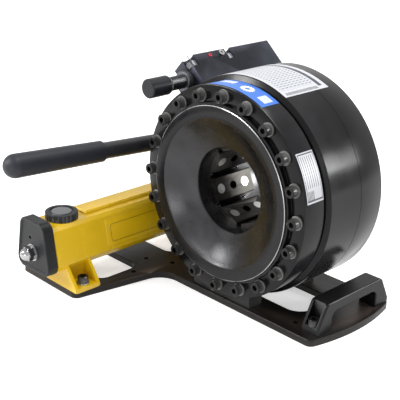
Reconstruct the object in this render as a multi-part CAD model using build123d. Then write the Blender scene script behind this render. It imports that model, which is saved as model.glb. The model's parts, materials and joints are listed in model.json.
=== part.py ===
"""Bench hose crimping machine: eight radial dies closed by a hydraulic ring piston and a hand pump.

Millimetres, +Z up. The origin is on the underside of the base plate, straight below the crimp
axis, half-way along the front crossbar. The crimp axis runs along +Y, away from the operator.
"""
from build123d import *
from math import cos, pi, radians, sin, tan
import os

# main places: drum, pump to its left, carry handle to its right
BODY_R = 130.5
PUMP_X = -BODY_R - 36.5
HANDLE_X = BODY_R - 12.5
HANDLE_W = 24.0

# base plate
PLATE_T = 8.0
PLATE_LEFT = PUMP_X - 61.0
PLATE_ARM_FRONT = -141.0
PLATE_ARM_RIGHT = PUMP_X + 49.0
PLATE_NECK_X = PUMP_X + 70.0
PLATE_FRONT = -17.0
PLATE_RIGHT = HANDLE_X + HANDLE_W
PLATE_BULGE = 11.0
PLATE_REAR = 128.0
PLATE_CORNER = 9.0
PLATE_EDGE = 0.8
WINDOW_CORNER = 14.0
BIG_WINDOW_CORNER = 20.0
RAIL_W = 24.0                   # left rail beside the windows
CROSSBAR_W = 39.0
REAR_BAR_W = 46.0
CROSSBAR_BACK = PLATE_FRONT + CROSSBAR_W
REAR_BAR_FRONT = PLATE_REAR - REAR_BAR_W
WINDOW_RIGHT = HANDLE_X - 23.0
WINDOW_LEFT = -86.0
PUMP_WINDOW_RIGHT = PUMP_X + 40.0
PUMP_WINDOW_FRONT = -96.0
PUMP_WINDOW_REAR = -34.0
BENCH_HOLE_R = 3.3
BENCH_X = HANDLE_X - 14.0
BENCH_Y = (4.0, 104.0)
NECK_HOLES = ((PUMP_X + 50.0, -50.0), (PUMP_X + 31.0, -13.0))

# crimp axis, cover and cylinder
DRUM_GAP = 1.5                  # between the plate and the drum
THROAT_R = 50.0
FUNNEL_R = 88.5
DISC_R = 103.0
DISC_STEP_R = 106.0
COVER_R = BODY_R - 5.5
DISC_FACE_Y = -26.0
THROAT_Y = -7.0
COVER_FACE_Y = -18.0
COVER_BACK_Y = 13.4
COVER_SCREWS = 20
SCREW_CIRCLE_R = COVER_R - 11.0
AXIS_H = PLATE_T + DRUM_GAP + BODY_R
BODY_NOSE_R = BODY_R - 9.5
BODY_NOSE_L = 5.1
BODY_FRONT_Y = COVER_BACK_Y
BODY_NOSE_FLAT = 1.5
BODY_REAR_Y = 110.0
BOSS_R = BODY_R - 16.5
BOSS_REAR_Y = 123.0
BODY_WALL = 26.5
BORE_R = BODY_R - BODY_WALL
CHAMBER_REAR_Y = 102.0
SCRIBE_Y = 70.5
SCRIBE_DEPTH = 0.6
COVER_SCREW_L = 50.0
EDGE = 1.0                      # eased edges of turned parts
REAR_EDGE = 2.0
BOSS_EDGE = 1.5
DISC_STEP = 2.0
DRILL_OVER = 2.0                # depth of a hole past the end of its screw

# screws (M8 and M4 socket head, M10 flat head)
M8_R = 4.0
M8_HEAD_R = 6.5
M8_HEAD_H = 8.0
M8_WASHER_R = 8.0
M8_WASHER_T = 2.0
M8_HEX_R = 3.5
M10_R = 5.0
M10_HEAD_R = 9.0
M10_HEAD_H = 5.0
M10_HEAD_SINK = 0.3
HOLE_CLEAR = 0.2                # radial clearance of a screw in its hole
HEAD_CHAMFER = 0.6
KEY_DEPTH = 0.6                 # depth of a hexagon key hole, of the head's height

# saddles under the drum
SADDLE_X = 18.0
SADDLE_HALF = 46.0
SADDLE_WRAP = 10.0              # rise of a saddle's ends above the drum's lowest line
SADDLE_BITE = 22.5              # reach of a saddle's screw into the drum
SADDLE_SCREW_TOP = PLATE_T + DRUM_GAP + SADDLE_BITE
SADDLE_INSET = 5.0
SADDLE_L = 22.0
REAR_SADDLE_L = 20.0
REAR_SADDLE_INSET = 6.0
SADDLE_FRONTS = (COVER_FACE_Y + SADDLE_INSET, BODY_REAR_Y - REAR_SADDLE_INSET - REAR_SADDLE_L)
SADDLE_Y = ((SADDLE_FRONTS[0], SADDLE_FRONTS[0] + SADDLE_L, COVER_R),
            (SADDLE_FRONTS[1], SADDLE_FRONTS[1] + REAR_SADDLE_L, BODY_R))

# dies
DIES = 8
DIE_BORE_R = 44.0
DIE_REAR_R = 62.0               # height of the ramp at the back of a die
DIE_FRONT_Y = 13.5
DIE_REAR_Y = 77.5
DIE_GAP = 3.6                   # half of the gap between neighbours, open
DIE_TRAVEL = 8.0
DIE_EDGE = 0.8
RAMP_DEG = 25.0
RAMP_CLEAR = 0.1
LINER_T = 3.0
PIN_HOLE_R = 5.25
PIN_HOLE_DEPTH = 22.0
PIN_HOLE_Y = 44.5
MAGNET_R = 6.0
MAGNET_H = 6.0
MAGNET_SINK = 0.3
MAGNET_Y = (24.2, 64.8)
SPRING_R = 4.0
SPRING_BORE_R = 2.7
SPRING_CIRCLE_R = 59.0
SPRING_SEAT = 7.0
SPRING_REACH = 3.0              # length of spring already inside the next die, open
SPRING_POCKET_CLEAR = 0.35
SPRING_END_CLEAR = 1.2
SPRING_Y = (21.0, 66.0)

# ring piston and sleeve
PISTON_FRONT_Y = 31.0
PISTON_REAR_Y = 101.0
PISTON_CLEAR = 0.05
SEAL_W = 5.0
SEAL_H = 4.0
SEAL_INSET = 4.0
SLEEVE_R = 78.0
SLEEVE_BORE_R = 69.5
SLEEVE_FRONT_Y = 72.0
PISTON_LIP = 0.5                # end of the ramps in front of the sleeve
PISTON_EDGE = 2.0
LINER_LIFT = RAMP_CLEAR / cos(radians(RAMP_DEG))
SEAT_LIFT = (RAMP_CLEAR + LINER_T) / cos(radians(RAMP_DEG))
RAMP_END_Y = SLEEVE_FRONT_Y - PISTON_LIP
LINER_INSET = 0.5
PISTON_SEALS = ((BORE_R - PISTON_CLEAR - SEAL_H, BORE_R - PISTON_CLEAR),
                (SLEEVE_R + PISTON_CLEAR, SLEEVE_R + PISTON_CLEAR + SEAL_H))
FLANGE_R = 96.0
FLANGE_T = 6.0
FLANGE_SCREWS = 12
FLANGE_SCREW_R = 88.0
FLANGE_SCREW_L = 18.0
FLANGE_HOLE_Y = BOSS_REAR_Y - FLANGE_SCREW_L - EDGE
GUARD_BORE_R = 52.0
GUARD_R = 80.0
GUARD_T = 4.0
GUARD_SCREWS = 6
GUARD_SCREW_R = 2.0
GUARD_SCREW_L = 8.0
GUARD_SCREW_HEAD_R = 3.5
GUARD_SCREW_HEAD_H = 2.5
GUARD_SCREW_HEX_R = 1.4
GUARD_SCREW_PCR = (SLEEVE_R + SLEEVE_BORE_R) / 2
NOTCH_CLEAR = 0.5

# micrometer stop on its block
BLOCK_DEG = 138.8
BLOCK_W = 43.0
BLOCK_H = 43.5                  # height of the block above the drum
BLOCK_TOP_R = BODY_R + BLOCK_H
BLOCK_ROOT = 6.0                # depth of the bar before the drum is cut out of it
BLOCK_EDGE = 1.2
BLOCK_FRONT_Y = 34.0
BLOCK_LEN = 143.0
BLOCK_REAR_Y = BLOCK_FRONT_Y + BLOCK_LEN
BLOCK_STEP_CLEAR = 0.5
BLOCK_SCREW_Y = (BLOCK_FRONT_Y + 5.0, BLOCK_FRONT_Y + 67.0)
BLOCK_SCREW_EDGE = 6.0
BLOCK_SCREW_T = (-(BLOCK_W / 2 - BLOCK_SCREW_EDGE), BLOCK_W / 2 - BLOCK_SCREW_EDGE)
BLOCK_BORE_R = 7.4
BLOCK_CBORE_DEPTH = 16.0
BLOCK_FLOOR_R = BLOCK_TOP_R - BLOCK_CBORE_DEPTH
BLOCK_SCREW_STOP = 14.0         # steel left between the screws and the piston's bore
BLOCK_SCREW_L = BLOCK_FLOOR_R - BORE_R - BLOCK_SCREW_STOP
BLOCK_HOLE_END_R = BORE_R + BLOCK_SCREW_STOP - EDGE
MIC_H = 21.5                    # height of the stop's axis above the drum
MIC_R = BODY_R + MIC_H
MIC_ROD_R = 3.0
MIC_ROD_L = 46.0
MIC_ROD_ROOM = 12.0             # free bore behind the rod
MIC_RUN = 0.05
MIC_BORE_R = MIC_ROD_R + MIC_RUN
COLLAR_R = 12.5
COLLAR_L = 9.0
BARREL_R = 8.5
BARREL_L = 40.0
THIMBLE_R = 11.7
THIMBLE_L = 33.0
THIMBLE_CLEAR = 0.3
THIMBLE_FACE = 5.0
THIMBLE_ROOM = 10.0             # travel left between the thimble's face and the barrel
THIMBLE_EDGE = 1.2
THIMBLE_TAPER = 4.0
THIMBLE_LIP = 0.8
THIMBLE_FRONT_Y = BLOCK_FRONT_Y - COLLAR_L - BARREL_L - THIMBLE_FACE - THIMBLE_ROOM
ROD_END_CLEAR = 0.1
PIN_Y = 69.0
PLUG_Y = 88.0
TRIM_EDGE = 6.5
TRIM_DEPTH = 6.0
TRIM_PIN_R = 2.5
TRIM_PIN_PROUD = 1.2
TRIM_PIN_HEX_R = 1.2
TRIM_PLUG_R = 4.0
TRIM_PLUG_PROUD = 2.4
TRIM_PLUG_HEX_R = 2.2

# carry handle
HANDLE_Y0 = -4.0
HANDLE_Y1 = 126.0
HANDLE_H = 35.0
HANDLE_SLOPE = 15.0
HANDLE_LEG = 25.0
HANDLE_BAR = 13.0
HANDLE_POCKET_W = 15.5
HANDLE_POCKET_L = 17.0
HANDLE_FLOOR = 8.0
HANDLE_HEEL = 6.0               # upright part of a sloping end
HANDLE_TOP_ROUND = 7.0
HANDLE_GAP_ROUND = 8.0
HANDLE_ROUND = 2.0
HANDLE_SCREW_Y = (HANDLE_Y0 + HANDLE_POCKET_L / 2 - 1.0, HANDLE_Y1 - HANDLE_POCKET_L / 2 + 1.0)
HANDLE_MID_X = HANDLE_X + HANDLE_W / 2
HANDLE_SCREW_L = 13.0

# hand pump
CAP_FACE_Y = -165.0
CAP_T = 14.0
CAP_Z = 27.0
CAP_TOP = 93.0
CAP_HALF = 34.0
CAP_TOP_HALF = 23.0
CAP_RIM = 3.5
CAP_CORNER = 12.0
CAP_SINK = 1.5
CAP_EDGE = 0.8
TANK_REAR_Y = 86.0
TANK_Z = 31.0
TANK_TOP = 85.0
TANK_HALF = 34.0
TANK_TOP_HALF = 25.0
TANK_SHOULDER = 5.0
TANK_SKIRT = 8.0
TANK_EAVE = 4.0
TANK_ROUND = 3.0
RIDGE_HALF = 12.0
RIDGE_H = 4.0
RIDGE_EDGE = 1.8
EMBED = 2.0                     # overlap of a cast boss with its casting
RIDGE_FRONT_Y = -94.0
FOOT_HALF = 53.0
FOOT_L = 36.0
FOOT_T = 5.0
FOOT_Y = (-141.0, 88.0)
FOOT_BOLT_X = 42.0
FOOT_EDGE = 2.0
FOOT_NECK_INSET = 7.0
GUSSET_T = 4.0
GUSSET_INSET = 4.0
GUSSET_RISE = 12.0
FILL_Y = -121.0
FILL_R = 20.0
FILL_H = 9.0
FILL_NECK_R = 14.0
FILL_CLEAR = 0.3
FILL_FLUTES = 24
FILL_FLUTE_R = 1.3
FILL_FLUTE_OUT = 0.6
FILL_RIM = 5.0
FILL_SINK = 0.8
FILL_ROUND = 1.2
FILL_NECK_DROP = 3.5            # neck's top below the cap's top
NUT_Z = 52.0
NUT_R = 9.0
NUT_L = 8.0
NUT_WASHER_T = 2.0
NUT_WASHER_OVER = 1.5
NUT_DOME = 0.84                 # dome's radius as a part of the nut's
VENT_R = 2.2
VENT_DEPTH = 4.0
VENT_X = PUMP_X - 6.0
VENT_Z = NUT_Z + 17.0
HEAD_REAR_Y = 171.0
HEAD_HALF = 33.0
HEAD_Z = 26.0
HEAD_TOP = 92.0
HEAD_ROUND = 6.0
HEAD_EDGE = 1.5
RELEASE_Y = 150.0
RELEASE_Z = 46.0
RELEASE_R = 11.0
RELEASE_L = 17.0
RELEASE_GAP = 2.0               # between the head's side and the knob
RELEASE_EDGE = 1.5
RELEASE_FLUTES = 8
RELEASE_FLUTE_R = 2.5
RELEASE_FLUTE_OUT = 1.2
RELEASE_STEM_R = 5.0
RELEASE_STEM_L = 18.0
RELEASE_BORE_L = 20.0

# pump lever
PIVOT_Y = 158.0
PIVOT_Z = 139.0
PIVOT_R = 5.0
LUG_R = 10.0
LUG_HALF = 8.0
CHEEK_T = 5.0
CHEEK_CLEAR = 0.3
LEVER_TILT = 4.4                # rise of the lever towards the operator, degrees
TUBE_R = 10.5
TUBE_WALL = 2.5
TUBE_START = 54.0               # along the lever, from the pivot
CHEEK_L = 76.0
SOCKET_WALL_START = 48.0
SOCKET_L = 22.0
SOCKET_WALL = 1.0
LEVER_OUTER = LUG_HALF + CHEEK_CLEAR + CHEEK_T
PIN_OVER = 1.5                  # pin ends outside the cheeks
LEVER_L = 356.0
GRIP_L = 139.0
GRIP_R = 14.3
GRIP_END_R = 13.2
GRIP_EDGE = 1.5
PLUNGER_ARM = 28.0
PLUNGER_Y = PIVOT_Y - PLUNGER_ARM
PLUNGER_PIN_Z = PIVOT_Z + PLUNGER_ARM * tan(radians(LEVER_TILT))
PLUNGER_R = 8.0
PLUNGER_RUN = 0.05
PLUNGER_BOTTOM = 60.0
PLUNGER_PIN_R = 4.0
EYE_HALF = 7.5
EYE_SLOT = 5.1
EYE_REACH = 14.8
EYE_WALL_FRONT = 3.0
EYE_WALL_BACK = 1.9
EYE_BELOW = 10.0
EYE_ABOVE = 8.0
EYE_ROUND = 3.0
GLAND_R = 13.0
GLAND_TOP = 104.0

# steel pressure pipe
PIPE_R = 4.0
PIPE_X = PUMP_X + 25.0
PIPE_Y = 160.0
PIPE_BEND = 25.0
PIPE_SEAT = 8.0                 # depth of the pipe in a port
PIPE_FROM_R = BODY_R + 14.5     # height of the outlet on the block's side, from the crimp axis
FITTING_R = 9.0
FITTING_L = 13.0

RAMP = tan(radians(RAMP_DEG))
SECTOR = 360 / DIES
HALF_SECTOR = radians(SECTOR / 2)
UP = (Align.CENTER, Align.CENTER, Align.MIN)


def turned(points, x=0.0, z=AXIS_H):
    """Turns (radius, y) points about a line along Y through x, z."""
    outline = Polyline([(x + r, y, z) for r, y in points], close=True)
    return revolve(make_face(outline), Axis((x, 0, z), (0, 1, 0)), 360)


def around(angle, shape):
    """Stands a shape made along +X of the crimp axis at an angle from +X towards +Z."""
    return Pos(0, 0, AXIS_H) * Rot(0, -angle, 0) * shape


def rod(radius, y0, y1, x=0.0, z=0.0):
    return Pos(x, y0, z) * Rot(-90, 0, 0) * Cylinder(radius, y1 - y0, align=UP)


def post(radius, z0, z1, x=0.0, y=0.0):
    return Pos(x, y, z0) * Cylinder(radius, z1 - z0, align=UP)


def cross_rod(radius, x0, x1, y, z):
    return Pos(x0, y, z) * Rot(0, 90, 0) * Cylinder(radius, x1 - x0, align=UP)


def box(x0, x1, y0, y1, z0, z1):
    return Pos(x0, y0, z0) * Box(x1 - x0, y1 - y0, z1 - z0, align=(Align.MIN,) * 3)


def prism(points, thickness, plane):
    """Extrudes a closed outline of 2D points, drawn on a plane, along the plane's normal."""
    return extrude(plane * make_face(Polyline([(u, v) for u, v in points], close=True)), thickness)


def socket_screw(radius, head_r, head_h, length, hex_r):
    """Socket-head screw along Z, its head above z = 0."""
    head = Cylinder(head_r, head_h, align=UP)
    head = chamfer(head.edges().group_by(Axis.Z)[-1], HEAD_CHAMFER)
    key = extrude(RegularPolygon(hex_r, 6), head_h * KEY_DEPTH)
    shank = Cylinder(radius, length, align=UP[:2] + (Align.MAX,))
    return head - Pos(0, 0, head_h * (1 - KEY_DEPTH)) * key + shank


def m8_screw(length):
    return socket_screw(M8_R, M8_HEAD_R, M8_HEAD_H, length, M8_HEX_R)


def m8_washer():
    return Cylinder(M8_WASHER_R, M8_WASHER_T, align=UP) - Cylinder(M8_R + HOLE_CLEAR, 3 * M8_WASHER_T)


def group(shapes):
    return Compound([solid for shape in shapes for solid in shape.solids()])


# ---- base plate, saddles and carry handle

def saddle_screw_spots():
    return [(side * SADDLE_X, (y0 + y1) / 2) for y0, y1, _ in SADDLE_Y for side in (-1, 1)]


def foot_bolt_spots():
    return [(PUMP_X + side * FOOT_BOLT_X, y + FOOT_L / 2) for y in FOOT_Y for side in (-1, 1)]


def window(x0, x1, y0, y1, corner):
    shape = Pos((x0 + x1) / 2, (y0 + y1) / 2) * RectangleRounded(x1 - x0, y1 - y0, corner)
    return extrude(shape, PLATE_T)


def base_plate():
    """Ladder plate: two crossbars, an arm under the pump and a bowed rail under the carry handle."""
    mid_y = (PLATE_FRONT + PLATE_REAR) / 2
    right = ThreePointArc((PLATE_RIGHT, PLATE_FRONT), (PLATE_RIGHT + PLATE_BULGE, mid_y),
                          (PLATE_RIGHT, PLATE_REAR))
    rest = Polyline((PLATE_RIGHT, PLATE_REAR), (PLATE_LEFT, PLATE_REAR), (PLATE_LEFT, PLATE_ARM_FRONT),
                    (PLATE_ARM_RIGHT, PLATE_ARM_FRONT), (PLATE_NECK_X, PLATE_FRONT),
                    (PLATE_RIGHT, PLATE_FRONT))
    plate = extrude(make_face([right, rest]), PLATE_T)
    upright = plate.edges().filter_by(Axis.Z)
    neck = upright.sort_by_distance((PLATE_NECK_X, PLATE_FRONT, PLATE_T / 2))[0]
    plate = fillet([e for e in upright if e is not neck], PLATE_CORNER)
    neck = plate.edges().filter_by(Axis.Z).sort_by_distance((PLATE_NECK_X, PLATE_FRONT, PLATE_T / 2))[0]
    plate = fillet(neck, 3 * PLATE_CORNER)
    left = PLATE_LEFT + RAIL_W
    plate -= window(left, PUMP_WINDOW_RIGHT, PUMP_WINDOW_FRONT, PUMP_WINDOW_REAR, WINDOW_CORNER)
    plate -= window(left, PUMP_WINDOW_RIGHT, CROSSBAR_BACK, REAR_BAR_FRONT, WINDOW_CORNER)
    plate -= window(WINDOW_LEFT, WINDOW_RIGHT, CROSSBAR_BACK, REAR_BAR_FRONT, BIG_WINDOW_CORNER)
    plate = chamfer(plate.edges().group_by(Axis.Z)[-1], PLATE_EDGE)
    for x, y in [(side * BENCH_X, y) for side in (-1, 1) for y in BENCH_Y] + list(NECK_HOLES):
        plate -= post(BENCH_HOLE_R, 0, PLATE_T, x, y)
    for x, y in saddle_screw_spots():
        plate -= post(M10_R + HOLE_CLEAR, 0, PLATE_T, x, y)
        plate -= post(M10_HEAD_R + HOLE_CLEAR, 0, M10_HEAD_H, x, y)
    for x, y in foot_bolt_spots():
        plate -= post(M8_R, 0, PLATE_T, x, y)
    for y in HANDLE_SCREW_Y:
        plate -= post(M8_R, 0, PLATE_T, HANDLE_MID_X, y)
    return plate


def saddle(y0, y1, radius):
    block = box(-SADDLE_HALF, SADDLE_HALF, y0, y1, PLATE_T, AXIS_H - radius + SADDLE_WRAP)
    block -= rod(radius, y0, y1, 0, AXIS_H)
    for side in (-1, 1):
        block -= post(M10_R + HOLE_CLEAR, PLATE_T, AXIS_H, side * SADDLE_X, (y0 + y1) / 2)
    return block


def drum_saddles():
    return group([saddle(*spot) for spot in SADDLE_Y])


def saddle_screw(x, y):
    head = post(M10_HEAD_R, M10_HEAD_SINK, M10_HEAD_H, x, y)
    return head + post(M10_R, M10_HEAD_H, SADDLE_SCREW_TOP, x, y)


def saddle_screws():
    return group([saddle_screw(x, y) for x, y in saddle_screw_spots()])


def carry_handle():
    """Bridge grip with sloping ends; each foot has an open pocket for its screw."""
    low = PLATE_T
    top = PLATE_T + HANDLE_H
    side = [(HANDLE_Y0, low), (HANDLE_Y1, low), (HANDLE_Y1, low + HANDLE_HEEL),
            (HANDLE_Y1 - HANDLE_SLOPE, top), (HANDLE_Y0 + HANDLE_SLOPE, top), (HANDLE_Y0, low + HANDLE_HEEL)]
    grip = prism(side, HANDLE_W, Plane.YZ.offset(HANDLE_X))
    grip = fillet(grip.edges().filter_by(Axis.X).group_by(Axis.Z)[-1], HANDLE_TOP_ROUND)
    gap_h = HANDLE_H - HANDLE_BAR
    gap = box(HANDLE_X, HANDLE_X + HANDLE_W, HANDLE_Y0 + HANDLE_LEG, HANDLE_Y1 - HANDLE_LEG,
              low, low + gap_h)
    gap = fillet(gap.edges().filter_by(Axis.X).group_by(Axis.Z)[-1], HANDLE_GAP_ROUND)
    grip -= gap
    rims = [e for e in grip.edges().group_by(Axis.X)[-1] if e.center().Z > low + 1]
    grip = fillet(rims, HANDLE_ROUND)
    rims = [e for e in grip.edges().group_by(Axis.X)[0] if e.center().Z > low + 1]
    grip = fillet(rims, HANDLE_ROUND)
    for y0 in (HANDLE_Y0 - 1, HANDLE_Y1 + 1 - HANDLE_POCKET_L):
        grip -= box(HANDLE_MID_X - HANDLE_POCKET_W / 2, HANDLE_MID_X + HANDLE_POCKET_W / 2,
                    y0, y0 + HANDLE_POCKET_L, low + HANDLE_FLOOR, top + 1)
    for y in HANDLE_SCREW_Y:
        grip -= post(M8_R + HOLE_CLEAR, low, top, HANDLE_MID_X, y)
    return grip


def handle_screws():
    seat = PLATE_T + HANDLE_FLOOR
    return group([Pos(HANDLE_MID_X, y, seat) * m8_screw(HANDLE_SCREW_L) for y in HANDLE_SCREW_Y])


# ---- cover, cylinder and sleeve


def cover_screw_angles():
    return [90 + 360 * i / COVER_SCREWS for i in range(COVER_SCREWS)]


def along_axis(angle, radius, y, shape):
    """Points a shape made along +Z to the front (-Y) on a circle about the crimp axis."""
    return around(angle, Pos(radius, y, 0) * Rot(90, 0, 0) * shape)


def front_cover():
    """Thick cover with a raised disc and a funnel that leads the hose into the dies."""
    cover = turned([(THROAT_R, THROAT_Y), (FUNNEL_R, DISC_FACE_Y), (DISC_R, DISC_FACE_Y),
                    (DISC_R, DISC_FACE_Y + DISC_STEP), (DISC_STEP_R, DISC_FACE_Y + DISC_STEP),
                    (DISC_STEP_R, COVER_FACE_Y), (COVER_R - EDGE, COVER_FACE_Y),
                    (COVER_R, COVER_FACE_Y + EDGE), (COVER_R, COVER_BACK_Y - EDGE / 2),
                    (COVER_R - EDGE / 2, COVER_BACK_Y), (THROAT_R, COVER_BACK_Y)])
    depth = COVER_BACK_Y - COVER_FACE_Y
    for angle in cover_screw_angles():
        hole = Cylinder(M8_R + HOLE_CLEAR, depth, align=UP)
        cover -= along_axis(angle, SCREW_CIRCLE_R, COVER_BACK_Y, hole)
    for x, y in saddle_screw_spots()[:2]:
        cover -= post(M10_R, 0, SADDLE_SCREW_TOP + DRILL_OVER, x, y)
    return cover


def cover_screws():
    pieces = []
    for angle in cover_screw_angles():
        pieces.append(along_axis(angle, SCREW_CIRCLE_R, COVER_FACE_Y, m8_washer()))
        screw = m8_screw(COVER_SCREW_L)
        pieces.append(along_axis(angle, SCREW_CIRCLE_R, COVER_FACE_Y - M8_WASHER_T, screw))
    return group(pieces)


def cylinder_body():
    """One-piece cylinder: its rear wall takes the piston's thrust."""
    flange_r = FLANGE_R + HOLE_CLEAR
    flange_y = BOSS_REAR_Y - FLANGE_T
    sleeve_r = SLEEVE_R + HOLE_CLEAR
    body = turned([(BORE_R, BODY_FRONT_Y), (BODY_NOSE_R, BODY_FRONT_Y),
                   (BODY_NOSE_R, BODY_FRONT_Y + BODY_NOSE_FLAT), (BODY_R, BODY_FRONT_Y + BODY_NOSE_L),
                   (BODY_R, SCRIBE_Y), (BODY_R - SCRIBE_DEPTH, SCRIBE_Y + EDGE / 2),
                   (BODY_R, SCRIBE_Y + EDGE), (BODY_R, BODY_REAR_Y - REAR_EDGE),
                   (BODY_R - REAR_EDGE, BODY_REAR_Y), (BOSS_R, BODY_REAR_Y),
                   (BOSS_R, BOSS_REAR_Y - BOSS_EDGE), (BOSS_R - BOSS_EDGE, BOSS_REAR_Y),
                   (flange_r, BOSS_REAR_Y), (flange_r, flange_y), (sleeve_r, flange_y),
                   (sleeve_r, CHAMBER_REAR_Y), (BORE_R, CHAMBER_REAR_Y)])
    thread_end = COVER_FACE_Y - M8_WASHER_T + COVER_SCREW_L
    for angle in cover_screw_angles():
        hole = Cylinder(M8_R, thread_end - BODY_FRONT_Y + DRILL_OVER, align=UP)
        body -= along_axis(angle, SCREW_CIRCLE_R, thread_end + DRILL_OVER, hole)
    for i in range(FLANGE_SCREWS):
        hole = Cylinder(M8_R, BOSS_REAR_Y, align=UP)
        hole = Pos(0, 0, -BOSS_REAR_Y) * hole
        body -= along_axis(360 * (i + 0.5) / FLANGE_SCREWS, FLANGE_SCREW_R, FLANGE_HOLE_Y, hole)
    for x, y in saddle_screw_spots()[2:]:
        body -= post(M10_R, 0, SADDLE_SCREW_TOP + DRILL_OVER, x, y)
    for y in BLOCK_SCREW_Y:
        for t in BLOCK_SCREW_T:
            hole = Cylinder(M8_R, BLOCK_TOP_R - BLOCK_HOLE_END_R, align=UP)
            body -= around(BLOCK_DEG, Pos(BLOCK_HOLE_END_R, y, t) * Rot(0, 90, 0) * hole)
    return body


def inner_sleeve():
    """Sleeve that the ring piston slides on, screwed into the cylinder from behind."""
    sleeve = turned([(SLEEVE_BORE_R, SLEEVE_FRONT_Y), (SLEEVE_R, SLEEVE_FRONT_Y),
                     (SLEEVE_R, BOSS_REAR_Y - FLANGE_T), (FLANGE_R, BOSS_REAR_Y - FLANGE_T),
                     (FLANGE_R, BOSS_REAR_Y), (SLEEVE_BORE_R, BOSS_REAR_Y)])
    for i in range(FLANGE_SCREWS):
        hole = Cylinder(M8_R + HOLE_CLEAR, 3 * FLANGE_T)
        sleeve -= along_axis(360 * (i + 0.5) / FLANGE_SCREWS, FLANGE_SCREW_R, BOSS_REAR_Y, hole)
    for i in range(GUARD_SCREWS):
        hole = Cylinder(GUARD_SCREW_R, GUARD_SCREW_L * 2)
        sleeve -= along_axis(360 * i / GUARD_SCREWS, GUARD_SCREW_PCR, BOSS_REAR_Y, hole)
    return sleeve


def sleeve_screws():
    pieces = []
    for i in range(FLANGE_SCREWS):
        screw = Rot(180, 0, 0) * m8_screw(FLANGE_SCREW_L)
        pieces.append(along_axis(360 * (i + 0.5) / FLANGE_SCREWS, FLANGE_SCREW_R, BOSS_REAR_Y, screw))
    for i in range(GUARD_SCREWS):
        screw = socket_screw(GUARD_SCREW_R, GUARD_SCREW_HEAD_R, GUARD_SCREW_HEAD_H, GUARD_SCREW_L,
                             GUARD_SCREW_HEX_R)
        screw = Rot(180, 0, 0) * screw
        pieces.append(along_axis(360 * i / GUARD_SCREWS, GUARD_SCREW_PCR, BOSS_REAR_Y + GUARD_T, screw))
    return group(pieces)


def rear_guard():
    """Ring plate that narrows the rear mouth to the hose's passage."""
    rear = BOSS_REAR_Y + GUARD_T
    guard = turned([(GUARD_BORE_R, BOSS_REAR_Y), (GUARD_R, BOSS_REAR_Y), (GUARD_R, rear - EDGE),
                    (GUARD_R - EDGE, rear), (GUARD_BORE_R + EDGE, rear), (GUARD_BORE_R, rear - EDGE)])
    for i in range(GUARD_SCREWS):
        hole = Cylinder(GUARD_SCREW_R + HOLE_CLEAR, 3 * GUARD_T)
        guard -= along_axis(360 * i / GUARD_SCREWS, GUARD_SCREW_PCR, BOSS_REAR_Y, hole)
    for i in range(FLANGE_SCREWS):
        notch = Cylinder(M8_HEAD_R + NOTCH_CLEAR, 3 * GUARD_T)
        guard -= along_axis(360 * (i + 0.5) / FLANGE_SCREWS, FLANGE_SCREW_R, BOSS_REAR_Y, notch)
    return guard


# ---- ring piston and dies

def ramp_height(y):
    """Height of a die's ramp above the crimp axis."""
    return DIE_REAR_R + (DIE_REAR_Y - y) * RAMP


def die_half_width(height):
    return height * tan(HALF_SECTOR) - DIE_GAP / cos(HALF_SECTOR)


def die_wedge(low, high, y0, y1):
    """Sector of one die between two heights, its sides parallel to the gaps."""
    sector = [(low, -die_half_width(low)), (high, -die_half_width(high)),
              (high, die_half_width(high)), (low, die_half_width(low))]
    return prism(sector, y1 - y0, Plane((0, y1, 0), x_dir=(1, 0, 0), z_dir=(0, -1, 0)))


def ramp_slab(bottom_lift, top_lift, y0, y1):
    """Slab that follows the ramp, between two heights above it; from the axis if bottom is None."""
    low0 = 0 if bottom_lift is None else ramp_height(y0) + bottom_lift
    low1 = 0 if bottom_lift is None else ramp_height(y1) + bottom_lift
    outline = [(low0, y0), (ramp_height(y0) + top_lift, y0), (ramp_height(y1) + top_lift, y1), (low1, y1)]
    return Pos(0, 0, -BORE_R) * prism(outline, 2 * BORE_R, Plane.XY)


def ring_piston():
    """Ring with an eight-sided tapered cavity; it slides forward and squeezes the dies in."""
    piston = turned([(SLEEVE_R + PISTON_CLEAR, PISTON_FRONT_Y), (BORE_R - PISTON_CLEAR, PISTON_FRONT_Y),
                     (BORE_R - PISTON_CLEAR, PISTON_REAR_Y - PISTON_EDGE),
                     (BORE_R - PISTON_CLEAR - PISTON_EDGE, PISTON_REAR_Y),
                     (SLEEVE_R + PISTON_CLEAR, PISTON_REAR_Y)])
    inner = turned([(0, PISTON_FRONT_Y), (SLEEVE_R + 1, PISTON_FRONT_Y), (SLEEVE_R + 1, RAMP_END_Y),
                    (0, RAMP_END_Y)])
    piston += inner
    mouths = []
    for y in (PISTON_FRONT_Y, RAMP_END_Y):
        flat = ramp_height(y) + SEAT_LIFT
        place = Plane((0, y, AXIS_H), x_dir=(1, 0, 0), z_dir=(0, -1, 0))
        mouths.append(place * RegularPolygon(flat, DIES, major_radius=False))
    piston -= loft(mouths)
    for inset_r, outset_r in PISTON_SEALS:
        piston -= turned(seal_section(inset_r, outset_r))
    return piston


def seal_section(r0, r1):
    y1 = PISTON_REAR_Y - SEAL_INSET
    return [(r0, y1 - SEAL_W), (r1, y1 - SEAL_W), (r1, y1), (r0, y1)]


def piston_seals():
    return group([turned(seal_section(r0, r1)) for r0, r1 in PISTON_SEALS])


def slide_plates():
    """Bronze wear plates between the piston's flats and the dies' ramps."""
    y0 = PISTON_FRONT_Y + LINER_INSET
    y1 = RAMP_END_Y - LINER_INSET
    plate = ramp_slab(LINER_LIFT, SEAT_LIFT, y0, y1) & die_wedge(DIE_BORE_R, BORE_R, y0, y1)
    return group([around(SECTOR * (k + 0.5), plate) for k in range(DIES)])


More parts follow.
